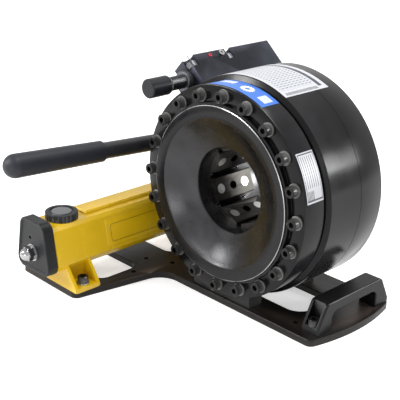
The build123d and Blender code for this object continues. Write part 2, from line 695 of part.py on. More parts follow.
def spring_place(side, y):
    """Frame of a return spring beside a die: z along the spring, towards the next die."""
    out = SPRING_CIRCLE_R
    origin = (out * cos(HALF_SECTOR), y, side * out * sin(HALF_SECTOR))
    return Plane(origin, x_dir=(0, 1, 0), z_dir=(-side * sin(HALF_SECTOR), 0, cos(HALF_SECTOR)))


def master_die():
    """Master die: inclined back, bore for the die insert's pin, magnets and spring pockets."""
    die = die_wedge(DIE_BORE_R, BORE_R, DIE_FRONT_Y, DIE_REAR_Y)
    die &= ramp_slab(None, 0, DIE_FRONT_Y, DIE_REAR_Y)
    die = chamfer(die.edges().filter_by(Axis.Y), DIE_EDGE)
    pin_hole = Cylinder(PIN_HOLE_R, PIN_HOLE_DEPTH, align=UP)
    die -= Pos(DIE_BORE_R, PIN_HOLE_Y, 0) * Rot(0, 90, 0) * pin_hole
    for y in MAGNET_Y:
        die -= Pos(DIE_BORE_R, y, 0) * Rot(0, 90, 0) * Cylinder(MAGNET_R, MAGNET_H + MAGNET_SINK, align=UP)
    squeeze = 2 * DIE_TRAVEL * sin(HALF_SECTOR)
    pocket = SPRING_REACH + squeeze + SPRING_END_CLEAR
    for y in SPRING_Y:
        seat = Pos(0, 0, -DIE_GAP - SPRING_SEAT) * Cylinder(SPRING_R, DIE_GAP + SPRING_SEAT, align=UP)
        die -= spring_place(1, y) * seat
        far = Cylinder(SPRING_R + SPRING_POCKET_CLEAR, DIE_GAP + pocket, align=UP)
        die -= spring_place(-1, y) * far
    return die


def die_magnets():
    discs = []
    for y in MAGNET_Y:
        disc = Cylinder(MAGNET_R, MAGNET_H, align=UP)
        discs.append(Pos(DIE_BORE_R + MAGNET_SINK, y, 0) * Rot(0, 90, 0) * disc)
    return group(discs)


def die_springs():
    """Return springs as sleeves; they ride on one die and slide into the next."""
    low = -DIE_GAP - SPRING_SEAT
    length = 2 * DIE_GAP + SPRING_SEAT + SPRING_REACH
    coil = Cylinder(SPRING_R, length, align=UP) - Cylinder(SPRING_BORE_R, length, align=UP)
    return group([spring_place(1, y) * (Pos(0, 0, low) * coil) for y in SPRING_Y])


# ---- micrometer stop

def micrometer_block():
    """Square bar seated on the drum, with the stop's bore and four pocketed screws."""
    low = BODY_R - BLOCK_ROOT
    bar = box(low, BLOCK_TOP_R, BLOCK_FRONT_Y, BLOCK_REAR_Y, -BLOCK_W / 2, BLOCK_W / 2)
    bar = chamfer(bar.edges().filter_by(Axis.Y).group_by(Axis.X)[-1], BLOCK_EDGE)
    bar -= rod(BODY_R, BLOCK_FRONT_Y, BODY_REAR_Y + BLOCK_STEP_CLEAR)
    bar -= box(low, BODY_R, BODY_REAR_Y, BLOCK_REAR_Y, -BLOCK_W / 2, BLOCK_W / 2)
    for y in BLOCK_SCREW_Y:
        for t in BLOCK_SCREW_T:
            pocket = Cylinder(BLOCK_BORE_R, BLOCK_CBORE_DEPTH + EDGE, align=UP)
            bar -= Pos(BLOCK_FLOOR_R, y, t) * Rot(0, 90, 0) * pocket
            bar -= Pos(0, y, t) * Rot(0, 90, 0) * Cylinder(M8_R + HOLE_CLEAR, BLOCK_TOP_R, align=UP)
    bar -= rod(MIC_ROD_R + MIC_RUN, BLOCK_FRONT_Y, BLOCK_FRONT_Y + MIC_ROD_L, MIC_R, 0)
    for y, radius, depth in ((PIN_Y, TRIM_PIN_R, TRIM_DEPTH), (PLUG_Y, TRIM_PLUG_R, TRIM_DEPTH)):
        bar -= Pos(BLOCK_TOP_R - TRIM_EDGE, y, -BLOCK_W / 2) * Cylinder(radius, depth, align=UP)
    bar -= Pos(PIPE_FROM_R, PIPE_Y, BLOCK_W / 2 - PIPE_SEAT) * Cylinder(PIPE_R, PIPE_SEAT, align=UP)
    return around(BLOCK_DEG, bar)


def block_screws():
    screws = []
    for y in BLOCK_SCREW_Y:
        for t in BLOCK_SCREW_T:
            screw = m8_screw(BLOCK_SCREW_L)
            screws.append(around(BLOCK_DEG, Pos(BLOCK_FLOOR_R, y, t) * Rot(0, 90, 0) * screw))
    return group(screws)


def side_trim(y, radius, proud, key_r):
    """Small round part pressed into the block's upper side face."""
    trim = Cylinder(radius, TRIM_DEPTH + proud, align=UP)
    trim -= extrude(RegularPolygon(key_r, 6), proud * KEY_DEPTH)
    return around(BLOCK_DEG, Pos(BLOCK_TOP_R - TRIM_EDGE, y, -BLOCK_W / 2 - proud) * trim)


def indicator_pin():
    return side_trim(PIN_Y, TRIM_PIN_R, TRIM_PIN_PROUD, TRIM_PIN_HEX_R)


def port_plug():
    return side_trim(PLUG_Y, TRIM_PLUG_R, TRIM_PLUG_PROUD, TRIM_PLUG_HEX_R)


def on_stop(points):
    """Turns (radius, y) points about the micrometer's axis."""
    shape = revolve(make_face(Polyline([(MIC_R + r, y) for r, y in points], close=True)),
                    Axis((MIC_R, 0, 0), (0, 1, 0)), 360)
    return around(BLOCK_DEG, shape)


def micrometer_collar():
    return on_stop([(BARREL_R, BLOCK_FRONT_Y - COLLAR_L), (COLLAR_R - EDGE, BLOCK_FRONT_Y - COLLAR_L),
                    (COLLAR_R, BLOCK_FRONT_Y - COLLAR_L + EDGE), (COLLAR_R, BLOCK_FRONT_Y),
                    (BARREL_R, BLOCK_FRONT_Y)])


def micrometer_barrel():
    front = BLOCK_FRONT_Y - COLLAR_L - BARREL_L
    return on_stop([(MIC_BORE_R, front), (BARREL_R - EDGE / 2, front), (BARREL_R, front + EDGE / 2),
                    (BARREL_R, BLOCK_FRONT_Y), (MIC_BORE_R, BLOCK_FRONT_Y)])


def micrometer_thimble():
    """Hollow thimble that turns over the graduated barrel."""
    front = THIMBLE_FRONT_Y
    back = front + THIMBLE_L
    inner = BARREL_R + THIMBLE_CLEAR
    return on_stop([(0, front), (THIMBLE_R - THIMBLE_EDGE, front), (THIMBLE_R, front + THIMBLE_EDGE),
                    (THIMBLE_R, back - THIMBLE_TAPER),
                    (inner + THIMBLE_LIP, back), (inner, back), (inner, front + THIMBLE_FACE),
                    (0, front + THIMBLE_FACE)])


def micrometer_spindle():
    rear = BLOCK_FRONT_Y + MIC_ROD_L - MIC_ROD_ROOM
    start = THIMBLE_FRONT_Y + THIMBLE_FACE + ROD_END_CLEAR
    return on_stop([(0, start), (MIC_ROD_R, start), (MIC_ROD_R, rear), (0, rear)])


# ---- hand pump

def pump_section(points, y0, y1, corner):
    """Extrudes a pump cross-section, given as (x from the pump's middle, z), along Y."""
    plane = Plane((PUMP_X, y1, 0), x_dir=(1, 0, 0), z_dir=(0, -1, 0))
    shape = prism(points, y1 - y0, plane)
    return fillet(shape.edges().filter_by(Axis.Y), corner)


def tank_outline(half, top_half, low, top):
    right = [(half - TANK_SHOULDER, low), (half, low + TANK_SKIRT), (top_half, top - TANK_EAVE),
             (top_half - TANK_SHOULDER, top)]
    return right + [(-x, z) for x, z in reversed(right)]


def cap_outline(inset):
    low = CAP_Z + inset
    top = CAP_TOP - inset
    return [(-CAP_HALF + inset, low), (CAP_HALF - inset, low), (CAP_TOP_HALF - inset, top),
            (-CAP_TOP_HALF + inset, top)]


def pump_foot(y0):
    """Cast foot with a pad on each side and a gusset at each end of the pad."""
    pad_top = PLATE_T + FOOT_T
    foot = box(PUMP_X - FOOT_HALF, PUMP_X + FOOT_HALF, y0, y0 + FOOT_L, PLATE_T, pad_top)
    foot = chamfer(foot.edges().filter_by(Axis.Z), FOOT_EDGE)
    neck = TANK_HALF - FOOT_NECK_INSET
    foot += box(PUMP_X - neck, PUMP_X + neck, y0, y0 + FOOT_L, PLATE_T, TANK_Z + EMBED)
    knee = TANK_HALF - GUSSET_INSET
    knee_z = TANK_Z + GUSSET_RISE
    web = [(-FOOT_HALF, PLATE_T + EDGE), (FOOT_HALF, PLATE_T + EDGE), (FOOT_HALF - EDGE, pad_top),
           (knee, knee_z), (-knee, knee_z), (-FOOT_HALF + EDGE, pad_top)]
    for y in (y0 + GUSSET_T, y0 + FOOT_L):
        foot += prism(web, GUSSET_T, Plane((PUMP_X, y, 0), x_dir=(1, 0, 0), z_dir=(0, -1, 0)))
    return foot


def pump_reservoir():
    """Oil tank with a raised top rail, a filler neck and a cast foot."""
    front = CAP_FACE_Y + CAP_T
    outline = tank_outline(TANK_HALF, TANK_TOP_HALF, TANK_Z, TANK_TOP)
    tank = pump_section(outline, front, TANK_REAR_Y, TANK_ROUND)
    ridge = box(PUMP_X - RIDGE_HALF, PUMP_X + RIDGE_HALF, RIDGE_FRONT_Y, TANK_REAR_Y,
                TANK_TOP - EMBED, TANK_TOP + RIDGE_H)
    tank += chamfer(ridge.edges().group_by(Axis.Z)[-1], RIDGE_EDGE)
    tank += pump_foot(FOOT_Y[0])
    tank += post(FILL_NECK_R, TANK_TOP - EMBED, TANK_TOP + FILL_H - FILL_NECK_DROP, PUMP_X, FILL_Y)
    for x, y in foot_bolt_spots()[:2]:
        tank -= post(M8_R + HOLE_CLEAR, 0, PLATE_T + FOOT_T + EDGE, x, y)
    return tank


def reservoir_end_cap():
    """Moulded end cap with a raised rim round a sunk face."""
    cap = pump_section(cap_outline(0), CAP_FACE_Y, CAP_FACE_Y + CAP_T, CAP_CORNER)
    cap -= pump_section(cap_outline(CAP_RIM), CAP_FACE_Y - 1, CAP_FACE_Y + CAP_SINK, CAP_CORNER - CAP_RIM)
    cap = chamfer(cap.edges().group_by(Axis.Y)[0], CAP_EDGE)
    return cap - rod(VENT_R, CAP_FACE_Y, CAP_FACE_Y + VENT_DEPTH, VENT_X, VENT_Z)


def end_cap_nut():
    """Washer and dome nut on the tank's tie rod."""
    seat = CAP_FACE_Y + CAP_SINK
    low = seat - NUT_WASHER_T
    nut = rod(NUT_R + NUT_WASHER_OVER, low, seat, PUMP_X, NUT_Z)
    hexagon = extrude(Plane((PUMP_X, low, NUT_Z), x_dir=(1, 0, 0), z_dir=(0, -1, 0))
                      * RegularPolygon(NUT_R, 6), NUT_L)
    dome = Pos(PUMP_X, low - NUT_L, NUT_Z) * Sphere(NUT_R * NUT_DOME)
    return nut + hexagon + dome


def filler_cap():
    """Knurled filler cap that turns on the tank's neck."""
    low = TANK_TOP + FILL_CLEAR
    knob = post(FILL_R, low, TANK_TOP + FILL_H, PUMP_X, FILL_Y)
    top = TANK_TOP + FILL_H
    knob = fillet(knob.edges().group_by(Axis.Z)[-1], FILL_ROUND)
    knob -= post(FILL_R - FILL_RIM, top - FILL_SINK, top, PUMP_X, FILL_Y)
    for i in range(FILL_FLUTES):
        angle = 2 * pi * i / FILL_FLUTES
        out = FILL_R + FILL_FLUTE_OUT
        x = PUMP_X + out * cos(angle)
        y = FILL_Y + out * sin(angle)
        knob -= post(FILL_FLUTE_R, low - EDGE, top + EDGE, x, y)
    return knob - post(FILL_NECK_R + FILL_CLEAR, low, top - FILL_NECK_DROP + FILL_CLEAR, PUMP_X, FILL_Y)


def pump_head():
    """Pump block with the plunger's gland and the lug that carries the lever."""
    head = box(PUMP_X - HEAD_HALF, PUMP_X + HEAD_HALF, TANK_REAR_Y, HEAD_REAR_Y, HEAD_Z, HEAD_TOP)
    head = fillet(head.edges().filter_by(Axis.Y), HEAD_ROUND)
    head = chamfer(head.edges().group_by(Axis.Y)[-1], HEAD_EDGE)
    head += pump_foot(FOOT_Y[1])
    for x, y in foot_bolt_spots()[2:]:
        head -= post(M8_R + HOLE_CLEAR, 0, PLATE_T + FOOT_T + EDGE, x, y)
    head += post(GLAND_R, HEAD_TOP - EMBED, GLAND_TOP, PUMP_X, PLUNGER_Y)
    lug = box(PUMP_X - LUG_HALF, PUMP_X + LUG_HALF, PIVOT_Y - LUG_R, PIVOT_Y + LUG_R,
              HEAD_TOP - EMBED, PIVOT_Z)
    head += lug + cross_rod(LUG_R, PUMP_X - LUG_HALF, PUMP_X + LUG_HALF, PIVOT_Y, PIVOT_Z)
    head -= cross_rod(PIVOT_R + PLUNGER_RUN, PUMP_X - LUG_HALF, PUMP_X + LUG_HALF, PIVOT_Y, PIVOT_Z)
    head -= post(PLUNGER_R + PLUNGER_RUN, PLUNGER_BOTTOM - EMBED, GLAND_TOP, PUMP_X, PLUNGER_Y)
    face = PUMP_X + HEAD_HALF
    head -= cross_rod(RELEASE_STEM_R + PLUNGER_RUN, face - RELEASE_BORE_L, face, RELEASE_Y, RELEASE_Z)
    return head - post(PIPE_R, HEAD_TOP - PIPE_SEAT, HEAD_TOP, PIPE_X, PIPE_Y)


def pump_feet_screws():
    seat = PLATE_T + FOOT_T
    pieces = []
    for x, y in foot_bolt_spots():
        pieces.append(Pos(x, y, seat) * m8_washer())
        pieces.append(Pos(x, y, seat + M8_WASHER_T) * m8_screw(FOOT_T + M8_WASHER_T + PLATE_T - EDGE))
    return group(pieces)


def lever_frame(distance):
    """Plane across the lever at a distance from its pivot, z pointing at the operator."""
    tilt = radians(LEVER_TILT)
    origin = (PUMP_X, PIVOT_Y - distance * cos(tilt), PIVOT_Z + distance * sin(tilt))
    return Plane(origin, x_dir=(1, 0, 0), z_dir=(0, -cos(tilt), sin(tilt)))


def lever_bracket():
    """Forked bracket: two cheeks on the pivot and a socket for the lever tube."""
    place = lever_frame(0)
    inner = LUG_HALF + CHEEK_CLEAR
    outer = LEVER_OUTER
    cheek = SlotOverall(CHEEK_L, 2 * LUG_R)
    pieces = Part()
    for side in (-1, 1):
        x0 = inner if side > 0 else -outer
        plane = Plane(place.origin + place.x_dir * x0, x_dir=place.z_dir, z_dir=place.x_dir)
        pieces += extrude(plane * Pos(CHEEK_L / 2 - LUG_R, 0) * cheek, CHEEK_T)
    pieces += extrude(lever_frame(SOCKET_WALL_START) * Circle(outer + SOCKET_WALL), SOCKET_L)
    pieces -= extrude(lever_frame(TUBE_START) * Circle(TUBE_R), LEVER_L)
    pieces -= cross_rod(PIVOT_R, PUMP_X - outer, PUMP_X + outer, PIVOT_Y, PIVOT_Z)
    return pieces - cross_rod(PLUNGER_PIN_R, PUMP_X - outer, PUMP_X + outer, PLUNGER_Y, PLUNGER_PIN_Z)


def lever_tube():
    length = LEVER_L - TUBE_START - GRIP_R
    tube = lever_frame(TUBE_START) * Circle(TUBE_R) - lever_frame(TUBE_START) * Circle(TUBE_R - TUBE_WALL)
    return extrude(tube, length)


def lever_grip():
    """Rubber sleeve with a domed end, slightly slimmer towards the lever."""
    start = LEVER_L - GRIP_L
    bore_end = LEVER_L - GRIP_R
    axis_frame = lever_frame(0)
    plane = Plane(axis_frame.origin, x_dir=axis_frame.x_dir, z_dir=axis_frame.y_dir * -1)
    edge = Polyline((0, bore_end), (TUBE_R, bore_end), (TUBE_R, start), (GRIP_END_R - GRIP_EDGE, start),
                    (GRIP_END_R, start + GRIP_EDGE), (GRIP_R, bore_end))
    middle = (GRIP_R * cos(pi / 4), bore_end + GRIP_R * sin(pi / 4))
    dome = ThreePointArc((GRIP_R, bore_end), middle, (0, LEVER_L))
    close = Line((0, LEVER_L), (0, bore_end))
    return revolve(plane * make_face([edge, dome, close]), Axis(plane.origin, plane.y_dir), 360)


def lever_pins():
    end = LEVER_OUTER + PIN_OVER
    pivot = cross_rod(PIVOT_R, PUMP_X - end, PUMP_X + end, PIVOT_Y, PIVOT_Z)
    plunger = cross_rod(PLUNGER_PIN_R, PUMP_X - end, PUMP_X + end, PLUNGER_Y, PLUNGER_PIN_Z)
    return group([pivot, plunger])


def pump_plunger():
    """Plunger rod with a slotted eye round the lever's driving pin."""
    stem = post(PLUNGER_R, PLUNGER_BOTTOM, PLUNGER_PIN_Z - EYE_SLOT, PUMP_X, PLUNGER_Y)
    back = PLUNGER_Y + EYE_REACH + EYE_WALL_BACK
    eye = box(PUMP_X - EYE_HALF, PUMP_X + EYE_HALF, PLUNGER_Y - EYE_SLOT - EYE_WALL_FRONT, back,
              PLUNGER_PIN_Z - EYE_BELOW, PLUNGER_PIN_Z + EYE_ABOVE)
    eye = fillet(eye.edges().filter_by(Axis.X), EYE_ROUND)
    slot = box(PUMP_X - EYE_HALF, PUMP_X + EYE_HALF, PLUNGER_Y - EYE_SLOT, PLUNGER_Y + EYE_REACH,
               PLUNGER_PIN_Z - EYE_SLOT, PLUNGER_PIN_Z + EYE_SLOT)
    return stem + eye - slot


def release_knob():
    """Knob of the release valve on its stem."""
    face = PUMP_X + HEAD_HALF
    near = face + RELEASE_GAP
    knob = cross_rod(RELEASE_R, near, near + RELEASE_L, RELEASE_Y, RELEASE_Z)
    knob = chamfer(knob.edges().group_by(Axis.X)[-1], RELEASE_EDGE)
    for i in range(RELEASE_FLUTES):
        angle = 2 * pi * i / RELEASE_FLUTES
        out = RELEASE_R + RELEASE_FLUTE_OUT
        y = RELEASE_Y + out * cos(angle)
        z = RELEASE_Z + out * sin(angle)
        knob -= cross_rod(RELEASE_FLUTE_R, near + RELEASE_GAP, near + RELEASE_L + EDGE, y, z)
    return knob + cross_rod(RELEASE_STEM_R, face - RELEASE_STEM_L, near, RELEASE_Y, RELEASE_Z)


# ---- pressure pipe

def block_outlet():
    """Point and direction of the oil outlet on the block's lower side face."""
    a = radians(BLOCK_DEG)
    out = Vector(cos(a), 0, sin(a))
    down = Vector(-sin(a), 0, cos(a))
    return Vector(0, PIPE_Y, AXIS_H) + out * PIPE_FROM_R + down * (BLOCK_W / 2), down


def pressure_pipe():
    """Steel pipe from the pump's outlet up to the stop block."""
    start, down = block_outlet()
    corner = start + down * ((start.X - PIPE_X) / -down.X)
    path = FilletPolyline(start, corner, Vector(PIPE_X, PIPE_Y, HEAD_TOP), radius=PIPE_BEND)
    return sweep(Plane(start, z_dir=down) * Circle(PIPE_R), path=path)


def pipe_fittings():
    start, down = block_outlet()
    ring = RegularPolygon(FITTING_R, 6) - Circle(PIPE_R)
    upper = extrude(Plane(start, z_dir=down) * ring, FITTING_L)
    lower = extrude(Plane((PIPE_X, PIPE_Y, HEAD_TOP)) * ring, FITTING_L)
    return group([upper, lower])


def write(node, shape):
    export_step(shape, os.path.join("parts", node + ".step"))


def main():
    os.makedirs("parts", exist_ok=True)
    makers = (base_plate, drum_saddles, saddle_screws, carry_handle, handle_screws, front_cover,
              cover_screws, cylinder_body, inner_sleeve, sleeve_screws, rear_guard, ring_piston,
              piston_seals, slide_plates, micrometer_block, block_screws, indicator_pin, port_plug,
              micrometer_collar, micrometer_barrel, micrometer_thimble, micrometer_spindle,
              pump_reservoir, reservoir_end_cap, end_cap_nut, filler_cap, pump_head, pump_feet_screws,
              lever_bracket, lever_tube, lever_grip, lever_pins, pump_plunger, release_knob,
              pressure_pipe, pipe_fittings)
    for maker in makers:
        write(maker.__name__, maker())
    for k in range(DIES):
        angle = SECTOR * (k + 0.5)
        write(f"master_die_{k + 1}", around(angle, master_die()))
        write(f"die_magnets_{k + 1}", around(angle, die_magnets()))
        write(f"die_springs_{k + 1}", around(angle, die_springs()))


main()
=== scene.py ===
import json
from math import cos, pi, radians, sin
import bpy
from mathutils import Matrix, Vector


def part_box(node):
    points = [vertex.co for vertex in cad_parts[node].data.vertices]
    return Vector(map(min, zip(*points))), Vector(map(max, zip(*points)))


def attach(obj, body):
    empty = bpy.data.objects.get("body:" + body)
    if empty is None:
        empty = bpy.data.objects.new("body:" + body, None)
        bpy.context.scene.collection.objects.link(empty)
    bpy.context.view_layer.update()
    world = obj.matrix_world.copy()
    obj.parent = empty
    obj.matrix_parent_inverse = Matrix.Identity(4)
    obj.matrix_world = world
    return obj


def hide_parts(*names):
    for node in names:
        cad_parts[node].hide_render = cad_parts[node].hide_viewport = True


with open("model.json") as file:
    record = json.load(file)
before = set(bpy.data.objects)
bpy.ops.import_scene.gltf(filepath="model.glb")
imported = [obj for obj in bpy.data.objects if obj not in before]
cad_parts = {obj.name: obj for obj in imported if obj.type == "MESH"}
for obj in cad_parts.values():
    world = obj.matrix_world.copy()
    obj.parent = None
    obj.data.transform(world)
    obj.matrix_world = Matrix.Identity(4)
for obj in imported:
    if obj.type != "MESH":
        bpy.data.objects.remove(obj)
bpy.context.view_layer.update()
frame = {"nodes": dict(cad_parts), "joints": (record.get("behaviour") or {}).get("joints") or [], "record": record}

nodes = frame["nodes"]
mm = 0.001
mergeGap = 0.00001  # points closer than this are one
coverLow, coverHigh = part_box("front_cover")
axisHeight = (coverLow.z + coverHigh.z) / 2
coverRadius = (coverHigh.x - coverLow.x) / 2
bodyLow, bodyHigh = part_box("cylinder_body")
bodyRadius = (bodyHigh.x - bodyLow.x) / 2
bodies = frame["record"]["behaviour"]["bodies"]
bodyOf = {name: body for body, members in bodies.items() for name in members}
print("frame loaded", len(nodes), "nodes")


# small helpers for edit mode and selection

def deselectAll():
    if bpy.context.object and bpy.context.object.mode != "OBJECT":
        bpy.ops.object.mode_set(mode="OBJECT")
    bpy.ops.object.select_all(action="DESELECT")


def selectOnly(piece):
    deselectAll()
    piece.select_set(True)
    bpy.context.view_layer.objects.active = piece


def editAll(piece):
    selectOnly(piece)
    bpy.ops.object.mode_set(mode="EDIT")
    bpy.ops.mesh.select_all(action="SELECT")


def leaveEdit():
    bpy.ops.object.mode_set(mode="OBJECT")


def applyAll(piece):
    selectOnly(piece)
    for modifier in list(piece.modifiers):
        bpy.ops.object.modifier_apply(modifier=modifier.name)


def settle(piece):
    # the place goes into the mesh, as on a CAD node
    selectOnly(piece)
    bpy.ops.object.transform_apply(location=True, rotation=True, scale=True)


def bevelEdges(piece, width, segments=2, angle=32):
    bevel = piece.modifiers.new("edges", "BEVEL")
    bevel.width = width
    bevel.segments = segments
    bevel.limit_method = "ANGLE"
    bevel.angle_limit = radians(angle)
    bevel.use_clamp_overlap = True
    applyAll(piece)


def smoothByAngle(piece, angle=32):
    selectOnly(piece)
    bpy.ops.object.shade_smooth_by_angle(angle=radians(angle))


def giveMaterial(piece, material):
    piece.data.materials.clear()
    piece.data.materials.append(material)


def fit(piece, body, slot, *replaced):
    if replaced:
        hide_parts(*replaced)
    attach(piece, body)


def mergedCopy(nodeName, pieceName, bevel, segments=2, angle=32):
    # a copy of a CAD node with its triangles joined, its edges eased and its curves shaded smooth
    mesh = nodes[nodeName].data.copy()
    piece = bpy.data.objects.new(pieceName, mesh)
    bpy.context.scene.collection.objects.link(piece)
    selectOnly(piece)
    if mesh.has_custom_normals:
        bpy.ops.mesh.customdata_custom_splitnormals_clear()
    editAll(piece)
    bpy.ops.mesh.remove_doubles(threshold=0.4 * mergeGap)
    bpy.ops.mesh.dissolve_limited(angle_limit=radians(0.3))
    leaveEdit()
    if bevel:
        bevelEdges(piece, bevel, segments, angle)
    smoothByAngle(piece, angle)
    # large faces keep their own normal, so flat sides stay flat beside the eased edges
    weighted = piece.modifiers.new("faceWeights", "WEIGHTED_NORMAL")
    weighted.keep_sharp = True
    applyAll(piece)
    return piece


def atAngle(degreesRound, shape):
    # turns a mesh made along +X of the crimp axis to an angle from +X towards +Z
    turn = Matrix.Translation((0, 0, axisHeight)) @ Matrix.Rotation(-radians(degreesRound), 4, "Y")
    shape.data.transform(turn)


def spunPiece(name, profile, steps=240):
    # one vertex is extruded round the (radius, y) profile, which is then spun about the crimp axis
    deselectAll()
    first = Vector((profile[0][0], profile[0][1], axisHeight))
    bpy.ops.mesh.primitive_plane_add(size=0.001, location=first)
    piece = bpy.context.object
    piece.name = name
    settle(piece)
    bpy.ops.object.mode_set(mode="EDIT")
    bpy.ops.mesh.select_all(action="SELECT")
    bpy.ops.mesh.merge(type="CENTER")
    last = profile[0]
    for point in profile[1:] + profile[:1]:
        step = (point[0] - last[0], point[1] - last[1], 0)
        bpy.ops.mesh.extrude_region_move(TRANSFORM_OT_translate={"value": step})
        last = point
    bpy.ops.mesh.select_all(action="SELECT")
    bpy.ops.mesh.remove_doubles(threshold=mergeGap)
    bpy.ops.mesh.select_all(action="SELECT")
    bpy.ops.mesh.spin(steps=steps, angle=2 * pi, center=(0, 0, axisHeight), axis=(0, 1, 0))
    bpy.ops.mesh.select_all(action="SELECT")
    bpy.ops.mesh.remove_doubles(threshold=mergeGap)
    bpy.ops.mesh.normals_make_consistent(inside=False)
    leaveEdit()
    return piece


# shader helpers

def math(tree, operation, a, b=None, c=None):
    node = tree.nodes.new("ShaderNodeMath")
    node.operation = operation
    for socket, value in zip(node.inputs, (a, b, c)):
        if value is None:
            continue
        if isinstance(value, (int, float)):
            socket.default_value = value
        else:
            tree.links.new(value, socket)
    return node.outputs[0]


def mixColor(tree, factor, a, b):
    node = tree.nodes.new("ShaderNodeMix")
    node.data_type = "RGBA"
    for socket, value in ((node.inputs[0], factor), (node.inputs[6], a), (node.inputs[7], b)):
        if isinstance(value, (int, float, tuple)):
            socket.default_value = value
        else:
            tree.links.new(value, socket)
    return node.outputs[2]


def newGroup(name, inputs, outputs):
    group = bpy.data.node_groups.new(name, "ShaderNodeTree")
    for label, kind, value in inputs:
        socket = group.interface.new_socket(name=label, in_out="INPUT", socket_type=kind)
        socket.default_value = value
    for label, kind in outputs:
        group.interface.new_socket(name=label, in_out="OUTPUT", socket_type=kind)
    source = group.nodes.new("NodeGroupInput")
    target = group.nodes.new("NodeGroupOutput")
    return group, source.outputs, target.inputs


# what all finishes share: where an edge counts as worn, and how deep the grain is
surface = {"edgeFrom": 0.53, "edgeGain": 14.0, "leastRough": 0.03, "coatRough": 0.08, "grainDepth": 0.0006}


def buildFinishGroup():
    # colour and roughness that vary a little over a surface, with fine grain as a height
    group, given, wanted = newGroup("surfaceFinish", [
        ("Color", "NodeSocketColor", (0.5, 0.5, 0.5, 1)), ("Roughness", "NodeSocketFloat", 0.4),
        ("Patch Scale", "NodeSocketFloat", 40.0), ("Patch Amount", "NodeSocketFloat", 0.2),
        ("Rough Amount", "NodeSocketFloat", 0.1), ("Grain Scale", "NodeSocketFloat", 900.0),
        ("Wear Color", "NodeSocketColor", (0.3, 0.3, 0.3, 1)), ("Wear", "NodeSocketFloat", 0.0)],
        [("Color", "NodeSocketColor"), ("Roughness", "NodeSocketFloat"), ("Height", "NodeSocketFloat")])
    place = group.nodes.new("ShaderNodeTexCoord")
    patches = group.nodes.new("ShaderNodeTexNoise")
    patches.inputs["Detail"].default_value = 4
    grain = group.nodes.new("ShaderNodeTexNoise")
    grain.inputs["Detail"].default_value = 2
    for texture, scale in ((patches, "Patch Scale"), (grain, "Grain Scale")):
        group.links.new(place.outputs["Object"], texture.inputs["Vector"])
        group.links.new(given[scale], texture.inputs["Scale"])
    level = math(group, "SUBTRACT", patches.outputs["Fac"], 0.5)
    shade = math(group, "MULTIPLY", level, given["Patch Amount"])
    bright = math(group, "ADD", math(group, "MULTIPLY", shade, 2.0), 1.0)
    tinted = group.nodes.new("ShaderNodeVectorMath")
    tinted.operation = "SCALE"
    group.links.new(given["Color"], tinted.inputs[0])
    group.links.new(bright, tinted.inputs["Scale"])
    geometry = group.nodes.new("ShaderNodeNewGeometry")
    edge = math(group, "SUBTRACT", geometry.outputs["Pointiness"], surface["edgeFrom"])
    edge = math(group, "MULTIPLY", math(group, "MAXIMUM", edge, 0.0), surface["edgeGain"])
    edge = math(group, "MULTIPLY", edge, patches.outputs["Fac"])
    edge = math(group, "MINIMUM", math(group, "MULTIPLY", edge, given["Wear"]), 1.0)
    group.links.new(mixColor(group, edge, tinted.outputs[0], given["Wear Color"]), wanted["Color"])
    rough = math(group, "MULTIPLY", level, given["Rough Amount"])
    rough = math(group, "ADD", math(group, "MULTIPLY", rough, 2.0), given["Roughness"])
    group.links.new(math(group, "MAXIMUM", rough, surface["leastRough"]), wanted["Roughness"])
    group.links.new(grain.outputs["Fac"], wanted["Height"])
    return group


def buildRingMarkGroup():
    # turning marks: fine rings about a line along Y
    group, given, wanted = newGroup("turningMarks", [
        ("Centre X", "NodeSocketFloat", 0.0), ("Centre Z", "NodeSocketFloat", 0.0),
        ("Rings", "NodeSocketFloat", 1500.0)], [("Height", "NodeSocketFloat")])
    place = group.nodes.new("ShaderNodeTexCoord")
    split = group.nodes.new("ShaderNodeSeparateXYZ")
    group.links.new(place.outputs["Object"], split.inputs[0])
    dx = math(group, "SUBTRACT", split.outputs[0], given["Centre X"])
    dz = math(group, "SUBTRACT", split.outputs[2], given["Centre Z"])
    square = math(group, "ADD", math(group, "MULTIPLY", dx, dx), math(group, "MULTIPLY", dz, dz))
    out = math(group, "SQRT", square)
    slow = math(group, "ADD", out, split.outputs[1])
    joined = group.nodes.new("ShaderNodeCombineXYZ")
    group.links.new(math(group, "MULTIPLY", slow, given["Rings"]), joined.inputs[0])
    noise = group.nodes.new("ShaderNodeTexNoise")
    noise.inputs["Scale"].default_value = 1.0
    noise.inputs["Detail"].default_value = 3
    group.links.new(joined.outputs[0], noise.inputs["Vector"])
    group.links.new(noise.outputs["Fac"], wanted["Height"])
    return group


def buildDrumPlaceGroup():
    # where a point lies on a label: 0 to 1 round the drum and 0 to 1 along it
    group, given, wanted = newGroup("drumPlace", [
        ("Start", "NodeSocketFloat", 0.0), ("End", "NodeSocketFloat", 1.0),
        ("Front", "NodeSocketFloat", 0.0), ("Back", "NodeSocketFloat", 0.1)],
        [("Round", "NodeSocketFloat"), ("Along", "NodeSocketFloat")])
    place = group.nodes.new("ShaderNodeTexCoord")
    split = group.nodes.new("ShaderNodeSeparateXYZ")
    group.links.new(place.outputs["Object"], split.inputs[0])
    height = math(group, "SUBTRACT", split.outputs[2], axisHeight)
    angle = math(group, "ARCTAN2", height, split.outputs[0])
    span = math(group, "SUBTRACT", given["End"], given["Start"])
    turned = math(group, "SUBTRACT", angle, given["Start"])
    group.links.new(math(group, "DIVIDE", turned, span), wanted["Round"])
    length = math(group, "SUBTRACT", given["Back"], given["Front"])
    along = math(group, "SUBTRACT", split.outputs[1], given["Front"])
    group.links.new(math(group, "DIVIDE", along, length), wanted["Along"])
    return group


finishGroup = buildFinishGroup()
ringGroup = buildRingMarkGroup()
drumPlaceGroup = buildDrumPlaceGroup()

